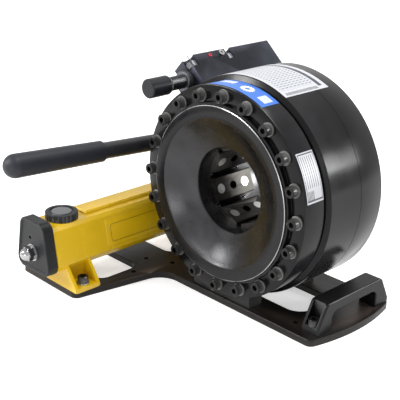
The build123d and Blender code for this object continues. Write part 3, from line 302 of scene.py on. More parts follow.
# colour, roughness, metal, specular, coat, patches, roughness change, grain, bump, wear and its colour
finishRows = {
    "blackGloss": ((0.0045, 0.0045, 0.005), 0.20, 0.0, 0.17, 0.0,
                   0.30, 0.08, 420, 0.03, 0.5, (0.10, 0.10, 0.11)),
    "plateCoat": ((0.0095, 0.0075, 0.0065), 0.36, 0.0, 0.21, 0.0,
                  0.45, 0.14, 1100, 0.12, 1.2, (0.13, 0.10, 0.085)),
    "castBlack": ((0.0055, 0.0055, 0.006), 0.34, 0.0, 0.20, 0.0,
                  0.35, 0.12, 900, 0.16, 0.9, (0.09, 0.09, 0.09)),
    "blockBlack": ((0.0045, 0.0054, 0.0095), 0.36, 0.0, 0.20, 0.0,
                   0.40, 0.14, 1500, 0.06, 1.2, (0.12, 0.13, 0.17)),
    "blackScrew": ((0.008, 0.008, 0.0085), 0.28, 0.2, 0.25, 0.0,
                   0.40, 0.14, 1600, 0.04, 2.6, (0.42, 0.41, 0.40)),
    "zincScrew": ((0.50, 0.50, 0.49), 0.24, 1.0, 0.5, 0.0,
                  0.25, 0.12, 1500, 0.04, 0.2, (0.8, 0.8, 0.8)),
    "bareSteel": ((0.15, 0.15, 0.155), 0.28, 1.0, 0.5, 0.0,
                  0.20, 0.10, 1500, 0.03, 0.2, (0.5, 0.5, 0.5)),
    "burnishedSteel": ((0.014, 0.0125, 0.011), 0.34, 0.9, 0.4, 0.0,
                       0.55, 0.20, 900, 0.08, 1.3, (0.26, 0.25, 0.23)),
    "magnetSteel": ((0.62, 0.62, 0.61), 0.30, 1.0, 0.5, 0.0,
                    0.20, 0.10, 1200, 0.03, 0.1, (0.9, 0.9, 0.9)),
    "springSteel": ((0.55, 0.55, 0.56), 0.25, 1.0, 0.5, 0.0,
                    0.20, 0.10, 1200, 0.02, 0.1, (0.9, 0.9, 0.9)),
    "greySteel": ((0.10, 0.105, 0.115), 0.36, 0.7, 0.5, 0.0,
                  0.25, 0.12, 1300, 0.05, 1.0, (0.4, 0.4, 0.4)),
    "darkSteel": ((0.010, 0.011, 0.014), 0.38, 0.0, 0.22, 0.0,
                  0.30, 0.12, 1300, 0.05, 1.4, (0.16, 0.16, 0.18)),
    "bronze": ((0.40, 0.24, 0.09), 0.35, 1.0, 0.5, 0.0,
               0.30, 0.10, 900, 0.04, 0.3, (0.6, 0.45, 0.25)),
    "sealRubber": ((0.012, 0.012, 0.012), 0.60, 0.0, 0.4, 0.0,
                   0.20, 0.10, 900, 0.04, 0.0, (0.1, 0.1, 0.1)),
    "pumpYellow": ((0.70, 0.44, 0.006), 0.26, 0.0, 0.45, 0.15,
                   0.10, 0.08, 260, 0.10, 0.35, (0.85, 0.66, 0.20)),
    "capPlastic": ((0.013, 0.0135, 0.0145), 0.42, 0.0, 0.21, 0.0,
                   0.30, 0.10, 1500, 0.10, 1.3, (0.10, 0.10, 0.11)),
    "chromeNut": ((0.36, 0.36, 0.37), 0.14, 1.0, 0.5, 0.0,
                  0.15, 0.05, 900, 0.02, 0.1, (0.9, 0.9, 0.9)),
    "leverPaint": ((0.007, 0.007, 0.0085), 0.34, 0.0, 0.38, 0.0,
                   0.30, 0.12, 1100, 0.08, 0.9, (0.10, 0.10, 0.11)),
    "gripRubber": ((0.0125, 0.0135, 0.019), 0.48, 0.0, 0.34, 0.0,
                   0.28, 0.12, 1600, 0.10, 0.6, (0.06, 0.06, 0.08)),
    "redPlastic": ((0.42, 0.02, 0.035), 0.25, 0.0, 0.5, 0.2,
                   0.10, 0.05, 900, 0.02, 0.1, (0.6, 0.2, 0.2)),
    "capDisc": ((0.12, 0.125, 0.13), 0.40, 0.0, 0.45, 0.0,
                0.30, 0.10, 700, 0.25, 0.6, (0.35, 0.35, 0.35)),
    "funnelSteel": ((0.040, 0.040, 0.042), 0.27, 0.85, 0.4, 0.0,
                    0.40, 0.16, 900, 0.02, 0.2, (0.2, 0.2, 0.2)),
    "panelLine": ((0.16, 0.085, 0.006), 0.40, 0.0, 0.40, 0.0,
                  0.20, 0.10, 900, 0.03, 0.1, (0.3, 0.2, 0.05)),
    "rimSteel": ((0.30, 0.30, 0.30), 0.30, 0.8, 0.5, 0.0,
                 0.60, 0.20, 300, 0.05, 0.2, (0.5, 0.5, 0.5)),
}
columns = ("color", "rough", "metal", "specular", "coat", "patch", "roughChange", "grain", "bump",
           "wear", "wearColor")
finishes = {name: dict(zip(columns, row)) for name, row in finishRows.items()}


def makeFinish(name):
    value = finishes[name]
    material = bpy.data.materials.new(name)
    material.use_nodes = True
    tree = material.node_tree
    shader = tree.nodes["Principled BSDF"]
    shader.inputs["Metallic"].default_value = value["metal"]
    shader.inputs["Specular IOR Level"].default_value = value["specular"]
    shader.inputs["Coat Weight"].default_value = value["coat"]
    shader.inputs["Coat Roughness"].default_value = surface["coatRough"]
    group = tree.nodes.new("ShaderNodeGroup")
    group.node_tree = finishGroup
    group.name = "finish"
    group.inputs["Color"].default_value = value["color"] + (1,)
    group.inputs["Roughness"].default_value = value["rough"]
    group.inputs["Patch Amount"].default_value = value["patch"]
    group.inputs["Rough Amount"].default_value = value["roughChange"]
    group.inputs["Grain Scale"].default_value = value["grain"]
    group.inputs["Wear"].default_value = value["wear"]
    group.inputs["Wear Color"].default_value = value["wearColor"] + (1,)
    bump = tree.nodes.new("ShaderNodeBump")
    bump.inputs["Strength"].default_value = value["bump"]
    bump.inputs["Distance"].default_value = surface["grainDepth"]
    tree.links.new(group.outputs["Color"], shader.inputs["Base Color"])
    tree.links.new(group.outputs["Roughness"], shader.inputs["Roughness"])
    tree.links.new(group.outputs["Height"], bump.inputs["Height"])
    tree.links.new(bump.outputs["Normal"], shader.inputs["Normal"])
    return material


look = {name: makeFinish(name) for name in finishes}
turning = {"rings": 1600.0, "strength": 0.30, "depth": 0.0004}


def addTurningMarks(material):
    # a second bump over the grain, from rings about a lathe axis
    tree = material.node_tree
    shader = tree.nodes["Principled BSDF"]
    marks = tree.nodes.new("ShaderNodeGroup")
    marks.node_tree = ringGroup
    marks.inputs["Centre Z"].default_value = axisHeight
    marks.inputs["Rings"].default_value = turning["rings"]
    bump = tree.nodes.new("ShaderNodeBump")
    bump.inputs["Strength"].default_value = turning["strength"]
    bump.inputs["Distance"].default_value = turning["depth"]
    tree.links.new(shader.inputs["Normal"].links[0].from_socket, bump.inputs["Normal"])
    tree.links.new(marks.outputs["Height"], bump.inputs["Height"])
    tree.links.new(bump.outputs["Normal"], shader.inputs["Normal"])


addTurningMarks(look["funnelSteel"])
print("materials ready")


# drum: cover, cylinder and rear

coverShape = {"throat": 50.0, "funnel": 88.5, "disc": 103.0, "step": 106.0, "rimRound": 1.0, "swell": 1.6,
              "discFaceAt": -26.0, "throatAt": -7.0, "ringFaceAt": -18.0, "backAt": 13.4}
funnelSteps = 9
turnedAngle = 28  # an edge sharper than this stays sharp on a turned piece


def makeCover():
    v = {key: value * mm for key, value in coverShape.items()}
    soft = v["rimRound"]
    profile = [
        (v["throat"], v["backAt"]), (v["throat"], v["throatAt"] + 2 * soft),
        (v["throat"] + 0.3 * soft, v["throatAt"] + 0.8 * soft),
        (v["throat"] + 1.2 * soft, v["throatAt"] - 0.3 * soft)]
    # the funnel swells slightly outwards between throat and mouth
    for i in range(1, funnelSteps):
        t = i / funnelSteps
        sag = v["swell"] * sin(pi * t)
        profile.append((v["throat"] + (v["funnel"] - v["throat"]) * t + sag * 0.4,
                        v["throatAt"] + (v["discFaceAt"] - v["throatAt"]) * t + sag))
    profile += [
        (v["funnel"] - soft, v["discFaceAt"] + 0.45 * soft), (v["funnel"], v["discFaceAt"]),
        (v["disc"] - 0.8 * soft, v["discFaceAt"]), (v["disc"], v["discFaceAt"] + 0.5 * soft),
        (v["disc"], v["discFaceAt"] + 1.6 * soft), (v["disc"] + 0.4 * soft, v["discFaceAt"] + 2 * soft),
        (v["step"] - 0.6 * soft, v["discFaceAt"] + 2 * soft), (v["step"], v["discFaceAt"] + 2.6 * soft),
        (v["step"], v["ringFaceAt"] - 0.4 * soft), (v["step"] + 0.4 * soft, v["ringFaceAt"]),
        (coverRadius - soft, v["ringFaceAt"]), (coverRadius - 0.3 * soft, v["ringFaceAt"] + 0.3 * soft),
        (coverRadius, v["ringFaceAt"] + soft), (coverRadius, v["backAt"] - 0.8 * soft),
        (coverRadius - 0.8 * soft, v["backAt"])]
    cover = spunPiece("frontCoverTurned", profile)
    smoothByAngle(cover, turnedAngle)
    for finish in ("blackGloss", "funnelSteel", "rimSteel"):
        cover.data.materials.append(look[finish])
    for face in cover.data.polygons:
        out = Vector((face.center.x, 0, face.center.z - axisHeight)).length
        face.material_index = 1 if out < v["funnel"] - 0.3 * soft else 0
        onRim = v["disc"] - 0.9 * soft < out < v["disc"] - 0.05 * soft
        if onRim and face.center.y < v["discFaceAt"] + soft:
            face.material_index = 2
    fit(cover, "frame", "black_gloss", "front_cover")


cylinderShape = {"nose": 121.0, "noseLength": 5.1, "frontAt": 13.4, "scribeAt": 70.5, "rearAt": 110.0,
                 "boss": 114.0, "bossAt": 123.0, "bore": 104.0, "chamberAt": 102.0, "flange": 96.2,
                 "flangeAt": 117.0, "sleeve": 78.2, "noseLand": 1.5, "edge": 0.4, "scribe": 0.5,
                 "rearRound": 2.6, "bossEdge": 1.5}


def makeCylinder():
    v = {key: value * mm for key, value in cylinderShape.items()}
    edge = v["edge"]
    profile = [
        (v["bore"], v["frontAt"]), (v["nose"] - edge, v["frontAt"]), (v["nose"], v["frontAt"] + edge),
        (v["nose"], v["frontAt"] + v["noseLand"]),
        (bodyRadius - 0.7 * mm, v["frontAt"] + v["noseLength"] - edge),
        (bodyRadius, v["frontAt"] + v["noseLength"] + 0.5 * mm), (bodyRadius, v["scribeAt"]),
        (bodyRadius - v["scribe"], v["scribeAt"] + edge), (bodyRadius, v["scribeAt"] + 2 * edge),
        (bodyRadius, v["rearAt"] - v["rearRound"] + 0.2 * mm),
        (bodyRadius - edge, v["rearAt"] - v["rearRound"] + 1.2 * mm),
        (bodyRadius - v["rearRound"] + 0.7 * mm, v["rearAt"] - 0.2 * mm),
        (bodyRadius - v["rearRound"], v["rearAt"]), (v["boss"], v["rearAt"]),
        (v["boss"], v["bossAt"] - v["bossEdge"]), (v["boss"] - v["bossEdge"], v["bossAt"]),
        (v["flange"], v["bossAt"]), (v["flange"], v["flangeAt"]), (v["sleeve"], v["flangeAt"]),
        (v["sleeve"], v["chamberAt"]), (v["bore"], v["chamberAt"])]
    body = spunPiece("cylinderTurned", profile)
    smoothByAngle(body, turnedAngle)
    giveMaterial(body, look["blackGloss"])
    fit(body, "frame", "black_gloss", "cylinder_body")


makeCover()
makeCylinder()
print("drum turned")


# carried-over parts with eased edges

# node, new piece, finish and how far its edges are eased
copies = {
    "base_plate": ("basePlateFinished", "plateCoat", 0.5),
    "drum_saddles": ("saddlesFinished", "castBlack", 0.4),
    "saddle_screws": ("saddleScrewsFinished", "blackScrew", 0.3),
    "carry_handle": ("carryHandleFinished", "castBlack", 1.0),
    "handle_screws": ("handleScrewsFinished", "blackScrew", 0.25),
    "cover_screws": ("coverScrewsFinished", "blackScrew", 0.3),
    "inner_sleeve": ("innerSleeveFinished", "bareSteel", 0.4),
    "sleeve_screws": ("sleeveScrewsFinished", "blackScrew", 0.3),
    "rear_guard": ("rearGuardFinished", "blackGloss", 0.3),
    "ring_piston": ("ringPistonFinished", "bareSteel", 0.4),
    "piston_seals": ("pistonSealsFinished", "sealRubber", 0.2),
    "slide_plates": ("slidePlatesFinished", "bronze", 0.2),
    "micrometer_block": ("stopBlockFinished", "blockBlack", 0.5),
    "block_screws": ("blockScrewsFinished", "greySteel", 0.3),
    "port_plug": ("portPlugFinished", "zincScrew", 0.3),
    "micrometer_collar": ("stopCollarFinished", "greySteel", 0.3),
    "micrometer_spindle": ("stopSpindleFinished", "bareSteel", 0.2),
    "pump_reservoir": ("pumpTankFinished", "pumpYellow", 0.7),
    "pump_head": ("pumpHeadFinished", "pumpYellow", 0.7),
    "reservoir_end_cap": ("tankEndCapFinished", "capPlastic", 0.5),
    "end_cap_nut": ("domeNutFinished", "chromeNut", 0.3),
    "filler_cap": ("fillerCapFinished", "capPlastic", 0.3),
    "pump_feet_screws": ("footScrewsFinished", "blackScrew", 0.3),
    "lever_bracket": ("leverBracketFinished", "leverPaint", 0.5),
    "lever_tube": ("leverTubeFinished", "leverPaint", 0.3),
    "lever_grip": ("leverGripFinished", "gripRubber", 0.3),
    "lever_pins": ("leverPinsFinished", "zincScrew", 0.3),
    "pump_plunger": ("plungerFinished", "bareSteel", 0.3),
    "release_knob": ("releaseKnobFinished", "capPlastic", 0.4),
    "pressure_pipe": ("pressurePipeFinished", "zincScrew", 0.0),
    "pipe_fittings": ("pipeFittingsFinished", "zincScrew", 0.4),
}
slotOf = {entry["node"]: entry["material_slot"] for entry in frame["record"]["subparts"]}
pieceOf = {}
for nodeName, (pieceName, finish, ease) in copies.items():
    pieceOf[nodeName] = mergedCopy(nodeName, pieceName, ease * mm)
    giveMaterial(pieceOf[nodeName], look[finish])
    fit(pieceOf[nodeName], bodyOf[nodeName], slotOf[nodeName], nodeName)


def brightWashers(piece, top):
    # the spring washers are bright zinc under black heads
    piece.data.materials.append(look["zincScrew"])
    for face in piece.data.polygons:
        if face.center.z < top:
            face.material_index = 1


screwHeadHeight = 8.05
brightWashers(pieceOf["pump_feet_screws"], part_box("pump_feet_screws")[1].z - screwHeadHeight * mm)
print("copies finished")


# dies, magnets and return springs

springShape = {"wire": 0.62, "turns": 7, "radius": 3.3, "circle": 59.0, "along": (21.0, 66.0),
               "gap": 3.6, "seat": 7.0, "reach": 3.0}


def coilMesh():
    v = springShape
    deselectAll()
    bpy.ops.mesh.primitive_circle_add(vertices=8, radius=v["wire"] * mm, location=(v["radius"] * mm, 0, 0),
                                      rotation=(pi / 2, 0, 0), fill_type="NOTHING")
    coil = bpy.context.object
    settle(coil)
    screw = coil.modifiers.new("turns", "SCREW")
    length = (2 * v["gap"] + v["seat"] + v["reach"] - 2 * v["wire"]) * mm
    screw.screw_offset = length / v["turns"]
    screw.iterations = v["turns"]
    screw.steps = 20
    screw.render_steps = 20
    screw.use_smooth_shade = True
    applyAll(coil)
    editAll(coil)
    bpy.ops.mesh.normals_make_consistent(inside=False)
    bpy.ops.mesh.select_all(action="DESELECT")
    bpy.ops.mesh.select_non_manifold(extend=False)
    bpy.ops.mesh.edge_face_add()
    leaveEdit()
    start = Matrix.Translation((0, 0, (-v["gap"] - v["seat"] + v["wire"]) * mm))
    coil.data.transform(start)
    return coil


dieEdges = {"die": 0.35, "magnet": 0.3}


def makeDies():
    coil = coilMesh()
    count = sum(name.startswith("master_die_") for name in nodes)
    half = pi / count
    for k in range(count):
        body = f"die_{k + 1}"
        die = mergedCopy(f"master_die_{k + 1}", f"dieFinished.{k + 1}", dieEdges["die"] * mm)
        giveMaterial(die, look["burnishedSteel"])
        fit(die, body, "burnished_steel", f"master_die_{k + 1}")
        disc = mergedCopy(f"die_magnets_{k + 1}", f"magnetsFinished.{k + 1}", dieEdges["magnet"] * mm)
        giveMaterial(disc, look["magnetSteel"])
        fit(disc, body, "magnet_steel", f"die_magnets_{k + 1}")
        pair = []
        for y in springShape["along"]:
            spring = coil.copy()
            spring.data = coil.data.copy()
            bpy.context.scene.collection.objects.link(spring)
            out = springShape["circle"] * mm
            lean = Matrix.Rotation(-half, 4, "Y")
            spring.data.transform(Matrix.Translation((out * cos(half), y * mm, out * sin(half))) @ lean)
            atAngle(360 / count * (k + 0.5), spring)
            pair.append(spring)
        selectOnly(pair[0])
        pair[1].select_set(True)
        bpy.ops.object.join()
        pair[0].name = f"returnSprings.{k + 1}"
        giveMaterial(pair[0], look["springSteel"])
        fit(pair[0], body, "spring_steel", f"die_springs_{k + 1}")
    bpy.data.objects.remove(coil)


makeDies()
print("dies and springs ready")


# labels, with plain marks in place of words; degrees round the drum, and mm along it

labels = {
    "blueLabel": dict(start=64.5, end=103.0, front=-15.6, back=11.6, radius=coverRadius),
    "sideLabel": dict(start=10.0, end=35.4, front=-14.0, back=12.2, radius=coverRadius),
    "tableLabel": dict(start=64.5, end=112.0, front=19.4, back=92.0, radius=bodyRadius),
}
labelFilm = {"lift": 0.06, "thick": 0.12, "stepsPerDegree": 1.5, "rough": 0.36}


def labelSheet(name):
    # a line along the drum is spun round it and given a film's thickness
    v = labels[name]
    radius = v["radius"] + labelFilm["lift"] * mm
    deselectAll()
    length = (v["back"] - v["front"]) * mm
    bpy.ops.mesh.primitive_grid_add(x_subdivisions=1, y_subdivisions=24, size=1)
    sheet = bpy.context.object
    sheet.name = name
    editAll(sheet)
    bpy.ops.mesh.select_all(action="DESELECT")
    leaveEdit()
    # only the grid's left edge stays, as the line that is spun
    for vertex in sheet.data.vertices:
        vertex.select = vertex.co.x > 0
    bpy.ops.object.mode_set(mode="EDIT")
    bpy.ops.mesh.delete(type="VERT")
    leaveEdit()
    middle = (v["front"] + v["back"]) / 2 * mm
    sheet.data.transform(Matrix.Translation((radius + 0.5, middle, 0)) @ Matrix.Diagonal((1, length, 1, 1)))
    atAngle(v["start"], sheet)
    editAll(sheet)
    degrees = v["end"] - v["start"]
    bpy.ops.mesh.spin(steps=int(degrees * labelFilm["stepsPerDegree"]), angle=radians(degrees),
                      center=(0, 0, axisHeight), axis=(0, 1, 0))
    bpy.ops.mesh.select_all(action="SELECT")
    bpy.ops.mesh.remove_doubles(threshold=mergeGap)
    bpy.ops.mesh.normals_make_consistent(inside=False)
    leaveEdit()
    centre = Vector((0, middle, axisHeight))
    face = sheet.data.polygons[0]
    if face.normal.dot(face.center - centre) < 0:
        editAll(sheet)
        bpy.ops.mesh.flip_normals()
        leaveEdit()
    film = sheet.modifiers.new("film", "SOLIDIFY")
    film.thickness = labelFilm["thick"] * mm
    film.offset = 1
    applyAll(sheet)
    smoothByAngle(sheet, 40)
    return sheet


def labelMaterial(name, base, paint):
    v = labels[name]
    material = bpy.data.materials.new(name + "Print")
    material.use_nodes = True
    tree = material.node_tree
    shader = tree.nodes["Principled BSDF"]
    shader.inputs["Roughness"].default_value = labelFilm["rough"]
    place = tree.nodes.new("ShaderNodeGroup")
    place.node_tree = drumPlaceGroup
    place.inputs["Start"].default_value = radians(v["start"])
    place.inputs["End"].default_value = radians(v["end"])
    place.inputs["Front"].default_value = v["front"] * mm
    place.inputs["Back"].default_value = v["back"] * mm
    color = paint(tree, place.outputs["Round"], place.outputs["Along"], base)
    tree.links.new(color, shader.inputs["Base Color"])
    return material


def between(tree, value, low, high):
    over = math(tree, "GREATER_THAN", value, low)
    return math(tree, "MULTIPLY", over, math(tree, "LESS_THAN", value, high))


def both(tree, a, b):
    return math(tree, "MULTIPLY", a, b)


def spot(tree, around, along, u, v, aspect):
    du = math(tree, "MULTIPLY", math(tree, "SUBTRACT", around, u), aspect)
    dv = math(tree, "SUBTRACT", along, v)
    square = math(tree, "ADD", math(tree, "MULTIPLY", du, du), math(tree, "MULTIPLY", dv, dv))
    return math(tree, "SQRT", square), du, dv


ink = {"white": (0.82, 0.84, 0.88, 1), "grey": (0.16, 0.17, 0.20, 1), "rule": (0.24, 0.26, 0.30, 1),
       "black": (0.03, 0.03, 0.03, 1), "heading": (0.05, 0.055, 0.075, 1), "line": (0.07, 0.07, 0.08, 1),
       "rim": (0.05, 0.05, 0.06, 1)}


def bluePrint(tree, around, along, base):
    # a toothed wheel, a bar with fins and a strip, all plain white shapes
    away, du, dv = spot(tree, around, along, 0.44, 0.52, 2.6)
    angle = math(tree, "ARCTAN2", dv, du)
    teeth = math(tree, "MULTIPLY", math(tree, "SINE", math(tree, "MULTIPLY", angle, 14.0)), 0.028)
    wheel = math(tree, "LESS_THAN", math(tree, "SUBTRACT", away, teeth), 0.26)
    wheel = both(tree, wheel, math(tree, "GREATER_THAN", away, 0.10))
    bar = both(tree, between(tree, around, 0.05, 0.20), between(tree, along, 0.30, 0.80))
    fins = math(tree, "GREATER_THAN", math(tree, "FRACT", math(tree, "MULTIPLY", along, 14.0)), 0.3)
    strip = both(tree, between(tree, around, 0.70, 0.96), between(tree, along, 0.50, 0.86))
    ragged = math(tree, "GREATER_THAN", math(tree, "FRACT", math(tree, "MULTIPLY", around, 16.0)), 0.25)
    white = math(tree, "MAXIMUM", wheel, both(tree, bar, fins))
    white = math(tree, "MAXIMUM", white, both(tree, strip, ragged))
    return mixColor(tree, white, base, ink["white"])


def tablePrint(tree, around, along, base):
    # rows and columns of grey bars under a dark heading strip
    rows = math(tree, "FRACT", math(tree, "MULTIPLY", around, 26.0))
    cells = math(tree, "FRACT", math(tree, "MULTIPLY", along, 11.0))
    bar = both(tree, between(tree, rows, 0.30, 0.66), between(tree, cells, 0.18, 0.82))
    bar = both(tree, bar, both(tree, between(tree, around, 0.10, 0.97), between(tree, along, 0.06, 0.80)))
    rule = math(tree, "LESS_THAN", cells, 0.05)
    rule = both(tree, rule, both(tree, between(tree, around, 0.08, 0.98), between(tree, along, 0.04, 0.82)))
    heading = both(tree, between(tree, along, 0.84, 0.92), between(tree, around, 0.05, 0.98))
    foot = both(tree, between(tree, around, 0.02, 0.06), between(tree, along, 0.06, 0.80))
    code = math(tree, "GREATER_THAN", math(tree, "FRACT", math(tree, "MULTIPLY", along, 34.0)), 0.45)
    grey = mixColor(tree, bar, base, ink["grey"])
    grey = mixColor(tree, rule, grey, ink["rule"])
    grey = mixColor(tree, both(tree, foot, code), grey, ink["black"])
    return mixColor(tree, heading, grey, ink["heading"])


def sidePrint(tree, around, along, base):
    # a few short lines and a square code of plain blocks
    rows = math(tree, "FRACT", math(tree, "MULTIPLY", along, 8.0))
    line = both(tree, between(tree, rows, 0.35, 0.62), between(tree, around, 0.30, 0.92))
    line = both(tree, line, between(tree, along, 0.10, 0.92))
    block = both(tree, between(tree, around, 0.06, 0.24), between(tree, along, 0.12, 0.50))
    checks = math(tree, "FRACT", math(tree, "MULTIPLY", along, 13.0))
    checks = math(tree, "GREATER_THAN", checks, 0.5)
    marks = math(tree, "MAXIMUM", line, both(tree, block, checks))
    inner = both(tree, between(tree, around, 0.07, 0.95), between(tree, along, 0.08, 0.94))
    rim = both(tree, between(tree, around, 0.035, 0.975), between(tree, along, 0.045, 0.965))
    rim = math(tree, "SUBTRACT", rim, inner)
    printed = mixColor(tree, marks, base, ink["line"])
    return mixColor(tree, rim, printed, ink["rim"])


prints = {"blueLabel": ((0.035, 0.16, 0.62, 1), bluePrint), "sideLabel": ((0.50, 0.51, 0.54, 1), sidePrint),
          "tableLabel": ((0.56, 0.57, 0.60, 1), tablePrint)}
for labelName, (base, paint) in prints.items():
    sheet = labelSheet(labelName)
    giveMaterial(sheet, labelMaterial(labelName, base, paint))
    fit(sheet, "frame", "black_gloss")
print("labels on")


# micrometer scale and small details

stopJoint = next(joint for joint in frame["joints"] if joint["name"] == "stop_thimble_hinge")
stopAxis = Vector(stopJoint["pos_m"])
scaleShape = {"line": 0.23, "pitch": 1000.0, "ticks": 40.0, "tick": 0.22, "tickLength": 4.0,
              "from": 0.05, "to": 0.14, "spine": (0.092, 0.098)}


def scaleMaterial(name, ringTicks):
    material = makeFinish("darkSteel")
    material.name = name
    tree = material.node_tree
    shader = tree.nodes["Principled BSDF"]
    place = tree.nodes.new("ShaderNodeTexCoord")
    split = tree.nodes.new("ShaderNodeSeparateXYZ")
    tree.links.new(place.outputs["Object"], split.inputs[0])
    dx = math(tree, "SUBTRACT", split.outputs[0], stopAxis.x)
    dz = math(tree, "SUBTRACT", split.outputs[2], stopAxis.z)
    angle = math(tree, "DIVIDE", math(tree, "ARCTAN2", dz, dx), 2 * pi)
    angle = math(tree, "FRACT", math(tree, "ADD", angle, 1.0))
    if ringTicks:
        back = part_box("micrometer_thimble")[1].y
        turn = math(tree, "FRACT", math(tree, "MULTIPLY", angle, scaleShape["ticks"]))
        edge = back - scaleShape["tickLength"] * mm
        mark = both(tree, math(tree, "LESS_THAN", turn, scaleShape["tick"]),
                    math(tree, "GREATER_THAN", split.outputs[1], edge))
    else:
        along = math(tree, "MULTIPLY", split.outputs[1], scaleShape["pitch"])
        mark = math(tree, "LESS_THAN", math(tree, "FRACT", along), scaleShape["line"])
        mark = both(tree, mark, between(tree, angle, scaleShape["from"], scaleShape["to"]))
        mark = math(tree, "MAXIMUM", mark, between(tree, angle, *scaleShape["spine"]))
    color = mixColor(tree, mark, tree.nodes["finish"].outputs["Color"], (0.75, 0.75, 0.75, 1))
    tree.links.new(color, shader.inputs["Base Color"])
    return material


for nodeName, pieceName, ringTicks in (("micrometer_barrel", "stopBarrelFinished", False),
                                       ("micrometer_thimble", "stopThimbleFinished", True)):
    piece = mergedCopy(nodeName, pieceName, 0.3 * mm)
    giveMaterial(piece, scaleMaterial(pieceName + "Scale", ringTicks))
    fit(piece, bodyOf[nodeName], slotOf[nodeName], nodeName)

pinPiece = mergedCopy("indicator_pin", "indicatorPinFinished", 0.2 * mm)
giveMaterial(pinPiece, look["redPlastic"])
fit(pinPiece, "frame", "red_plastic", "indicator_pin")

capDisc = {"radius": 12.0, "height": 0.7, "sunk": 0.8, "edge": 0.2}
fillLow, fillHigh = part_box("filler_cap")
deselectAll()
discHeight = fillHigh.z + (capDisc["height"] / 2 - capDisc["sunk"]) * mm
bpy.ops.mesh.primitive_cylinder_add(
    vertices=96, radius=capDisc["radius"] * mm, depth=capDisc["height"] * mm,
    location=((fillLow.x + fillHigh.x) / 2, (fillLow.y + fillHigh.y) / 2, discHeight))
disc = bpy.context.object
disc.name = "fillerCapDisc"
settle(disc)
bevelEdges(disc, capDisc["edge"] * mm)
smoothByAngle(disc)
giveMaterial(disc, look["capDisc"])
fit(disc, "fill_cap", "cap_plastic")


# a raised pad on the tank's side, with the outline of a bare panel
sidePad = {"front": -76.0, "back": 78.0, "low": 44.0, "high": 77.5, "corner": 3.0, "thick": 0.7,
           "sunk": 0.1, "edge": 0.4}
sidePanel = {"front": -69.5, "back": 30.0, "low": 48.5, "high": 70.5, "corner": 3.5, "thick": 0.2,
             "sunk": 0.15, "line": 0.55}
tankSide = {"half": 34.0, "lowZ": 39.0, "topHalf": 25.0, "topZ": 81.0}


def onTankSide(piece, lift):
    # local X runs to the rear, local Y up the sloping side and local Z out of it
    v = tankSide
    tankX = (fillLow.x + fillHigh.x) / 2
    foot = Vector((tankX + v["half"] * mm, 0, v["lowZ"] * mm))
    rise = Vector(((v["topHalf"] - v["half"]) * mm, 0, (v["topZ"] - v["lowZ"]) * mm)).normalized()
    along = Vector((0, 1, 0))
    out = along.cross(rise)
    place = Matrix((along, rise, out)).transposed().to_4x4()
    piece.data.transform(Matrix.Translation(foot + out * lift) @ place)


def roundedPlate(name, v):
    deselectAll()
    rise = tankSide["topZ"] - tankSide["lowZ"]
    slant = (rise ** 2 + (tankSide["half"] - tankSide["topHalf"]) ** 2) ** 0.5 / rise
    low = v["low"] - tankSide["lowZ"]
    length = v["back"] - v["front"]
    height = (v["high"] - v["low"]) * slant
    middle = ((v["front"] + length / 2) * mm, (low + height / 2) * mm, 0)
    bpy.ops.mesh.primitive_plane_add(size=1, location=middle)
    plate = bpy.context.object
    plate.name = name
    plate.scale = (length * mm, height * mm, 1)
    settle(plate)
    editAll(plate)
    bpy.ops.mesh.bevel(offset=v["corner"] * mm, offset_type="OFFSET", segments=6, affect="VERTICES")
    return plate


def thicken(thick):
    bpy.ops.mesh.extrude_region_move(TRANSFORM_OT_translate={"value": (0, 0, thick * mm)})
    bpy.ops.mesh.select_all(action="SELECT")
    bpy.ops.mesh.normals_make_consistent(inside=False)
    leaveEdit()


def makeSidePad():
    pad = roundedPlate("tankSidePad", sidePad)
    thicken(sidePad["thick"])
    bevelEdges(pad, sidePad["edge"] * mm, 3, 50)
    smoothByAngle(pad)
    onTankSide(pad, -sidePad["sunk"] * mm)
    giveMaterial(pad, look["pumpYellow"])
    fit(pad, "frame", "pump_yellow")
    line = roundedPlate("sidePanelLine", sidePanel)
    bpy.ops.mesh.inset(thickness=sidePanel["line"] * mm)
    bpy.ops.mesh.delete(type="FACE")
    bpy.ops.mesh.select_all(action="SELECT")
    thicken(sidePanel["thick"])
    onTankSide(line, (sidePad["thick"] - sidePanel["sunk"]) * mm)
    giveMaterial(line, look["panelLine"])
    fit(line, "frame", "pump_yellow")


makeSidePad()
print("small details ready")


# studio

studio = {"azimuth": 45.644, "elevation": 21.774, "roll": 1.424, "lens": 85.0,
          "position": (0.70053, -0.73635, 0.53168)}


def placeCamera():
    toward = radians(studio["azimuth"])
    tilt = radians(studio["elevation"])
    roll = radians(studio["roll"])
    forward = Vector((-sin(toward) * cos(tilt), cos(toward) * cos(tilt), -sin(tilt)))
    right = forward.cross(Vector((0, 0, 1))).normalized()
    up = right.cross(forward)
    right, up = right * cos(roll) + up * sin(roll), up * cos(roll) - right * sin(roll)
    data = bpy.data.cameras.new("camera")
    data.lens = studio["lens"]
    data.sensor_width = 36
    data.clip_start = 0.01
    camera = bpy.data.objects.new("camera", data)
    bpy.context.scene.collection.objects.link(camera)
    camera.matrix_world = Matrix.Translation(studio["position"]) @ Matrix(
        (right, up, -forward)).transposed().to_4x4()
    bpy.context.scene.camera = camera


lamps = {
    "keyPanel": dict(place=(-0.75, -1.35, 1.35), size=(0.6, 0.4), power=20.0),
    "backPanel": dict(place=(1.25, 1.20, 0.66), size=(0.24, 0.42), power=13.0),
    "topPanel": dict(place=(0.25, 0.35, 1.8), size=(0.9, 0.45), power=18.0),
    "funnelPanel": dict(place=(-1.00, -1.02, 0.60), size=(0.30, 0.22), power=7.0),
    "lowPanel": dict(place=(0.45, -1.5, 0.25), size=(0.7, 0.25), power=4.0),
}


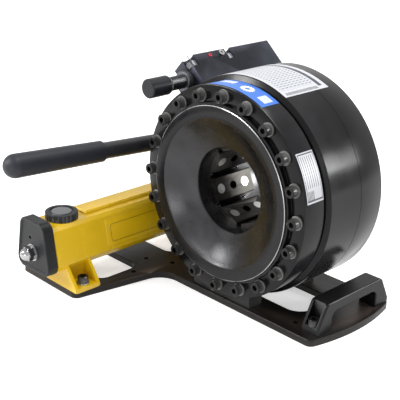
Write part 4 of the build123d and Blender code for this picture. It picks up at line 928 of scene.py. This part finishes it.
def placeLamps():
    target = Vector((0, 0.03, axisHeight))
    for name, v in lamps.items():
        data = bpy.data.lights.new(name, "AREA")
        data.shape = "RECTANGLE"
        data.size, data.size_y = v["size"]
        data.energy = v["power"]
        lamp = bpy.data.objects.new(name, data)
        bpy.context.scene.collection.objects.link(lamp)
        lamp.location = v["place"]
        lamp.rotation_euler = (target - Vector(v["place"])).to_track_quat("-Z", "Y").to_euler()


air = {"onObject": 0.55, "seen": 1.0}  # world strength on the object and where it is seen


def makeWorld():
    world = bpy.data.worlds.new("studio")
    bpy.context.scene.world = world
    world.use_nodes = True
    tree = world.node_tree
    background = tree.nodes["Background"]
    path = tree.nodes.new("ShaderNodeLightPath")
    seen = math(tree, "MAXIMUM", path.outputs["Is Camera Ray"], path.outputs["Is Glossy Ray"])
    seen = math(tree, "MAXIMUM", seen, path.outputs["Is Transmission Ray"])
    background.inputs["Color"].default_value = (1, 1, 1, 1)
    strength = math(tree, "MULTIPLY", seen, air["seen"] - air["onObject"])
    strength = math(tree, "ADD", strength, air["onObject"])
    tree.links.new(strength, background.inputs["Strength"])


paper = {"size": 8.0, "drop": 0.0002, "grey": 0.86, "rough": 0.9, "glow": 0.50}


def makeFloor():
    deselectAll()
    bpy.ops.mesh.primitive_plane_add(size=paper["size"], location=(0, 0, -paper["drop"]))
    floor = bpy.context.object
    floor.name = "floor"
    settle(floor)
    material = bpy.data.materials.new("floorPaper")
    material.use_nodes = True
    tree = material.node_tree
    shader = tree.nodes["Principled BSDF"]
    shader.inputs["Base Color"].default_value = (paper["grey"],) * 3 + (1,)
    shader.inputs["Roughness"].default_value = paper["rough"]
    shader.inputs["Emission Color"].default_value = (1, 1, 1, 1)
    path = tree.nodes.new("ShaderNodeLightPath")
    seen = math(tree, "MAXIMUM", path.outputs["Is Camera Ray"], path.outputs["Is Glossy Ray"])
    glow = math(tree, "MULTIPLY", seen, paper["glow"])
    tree.links.new(glow, shader.inputs["Emission Strength"])
    giveMaterial(floor, material)


placeCamera()
placeLamps()
makeWorld()
makeFloor()
bpy.context.scene.view_settings.view_transform = "Standard"
print("studio ready")
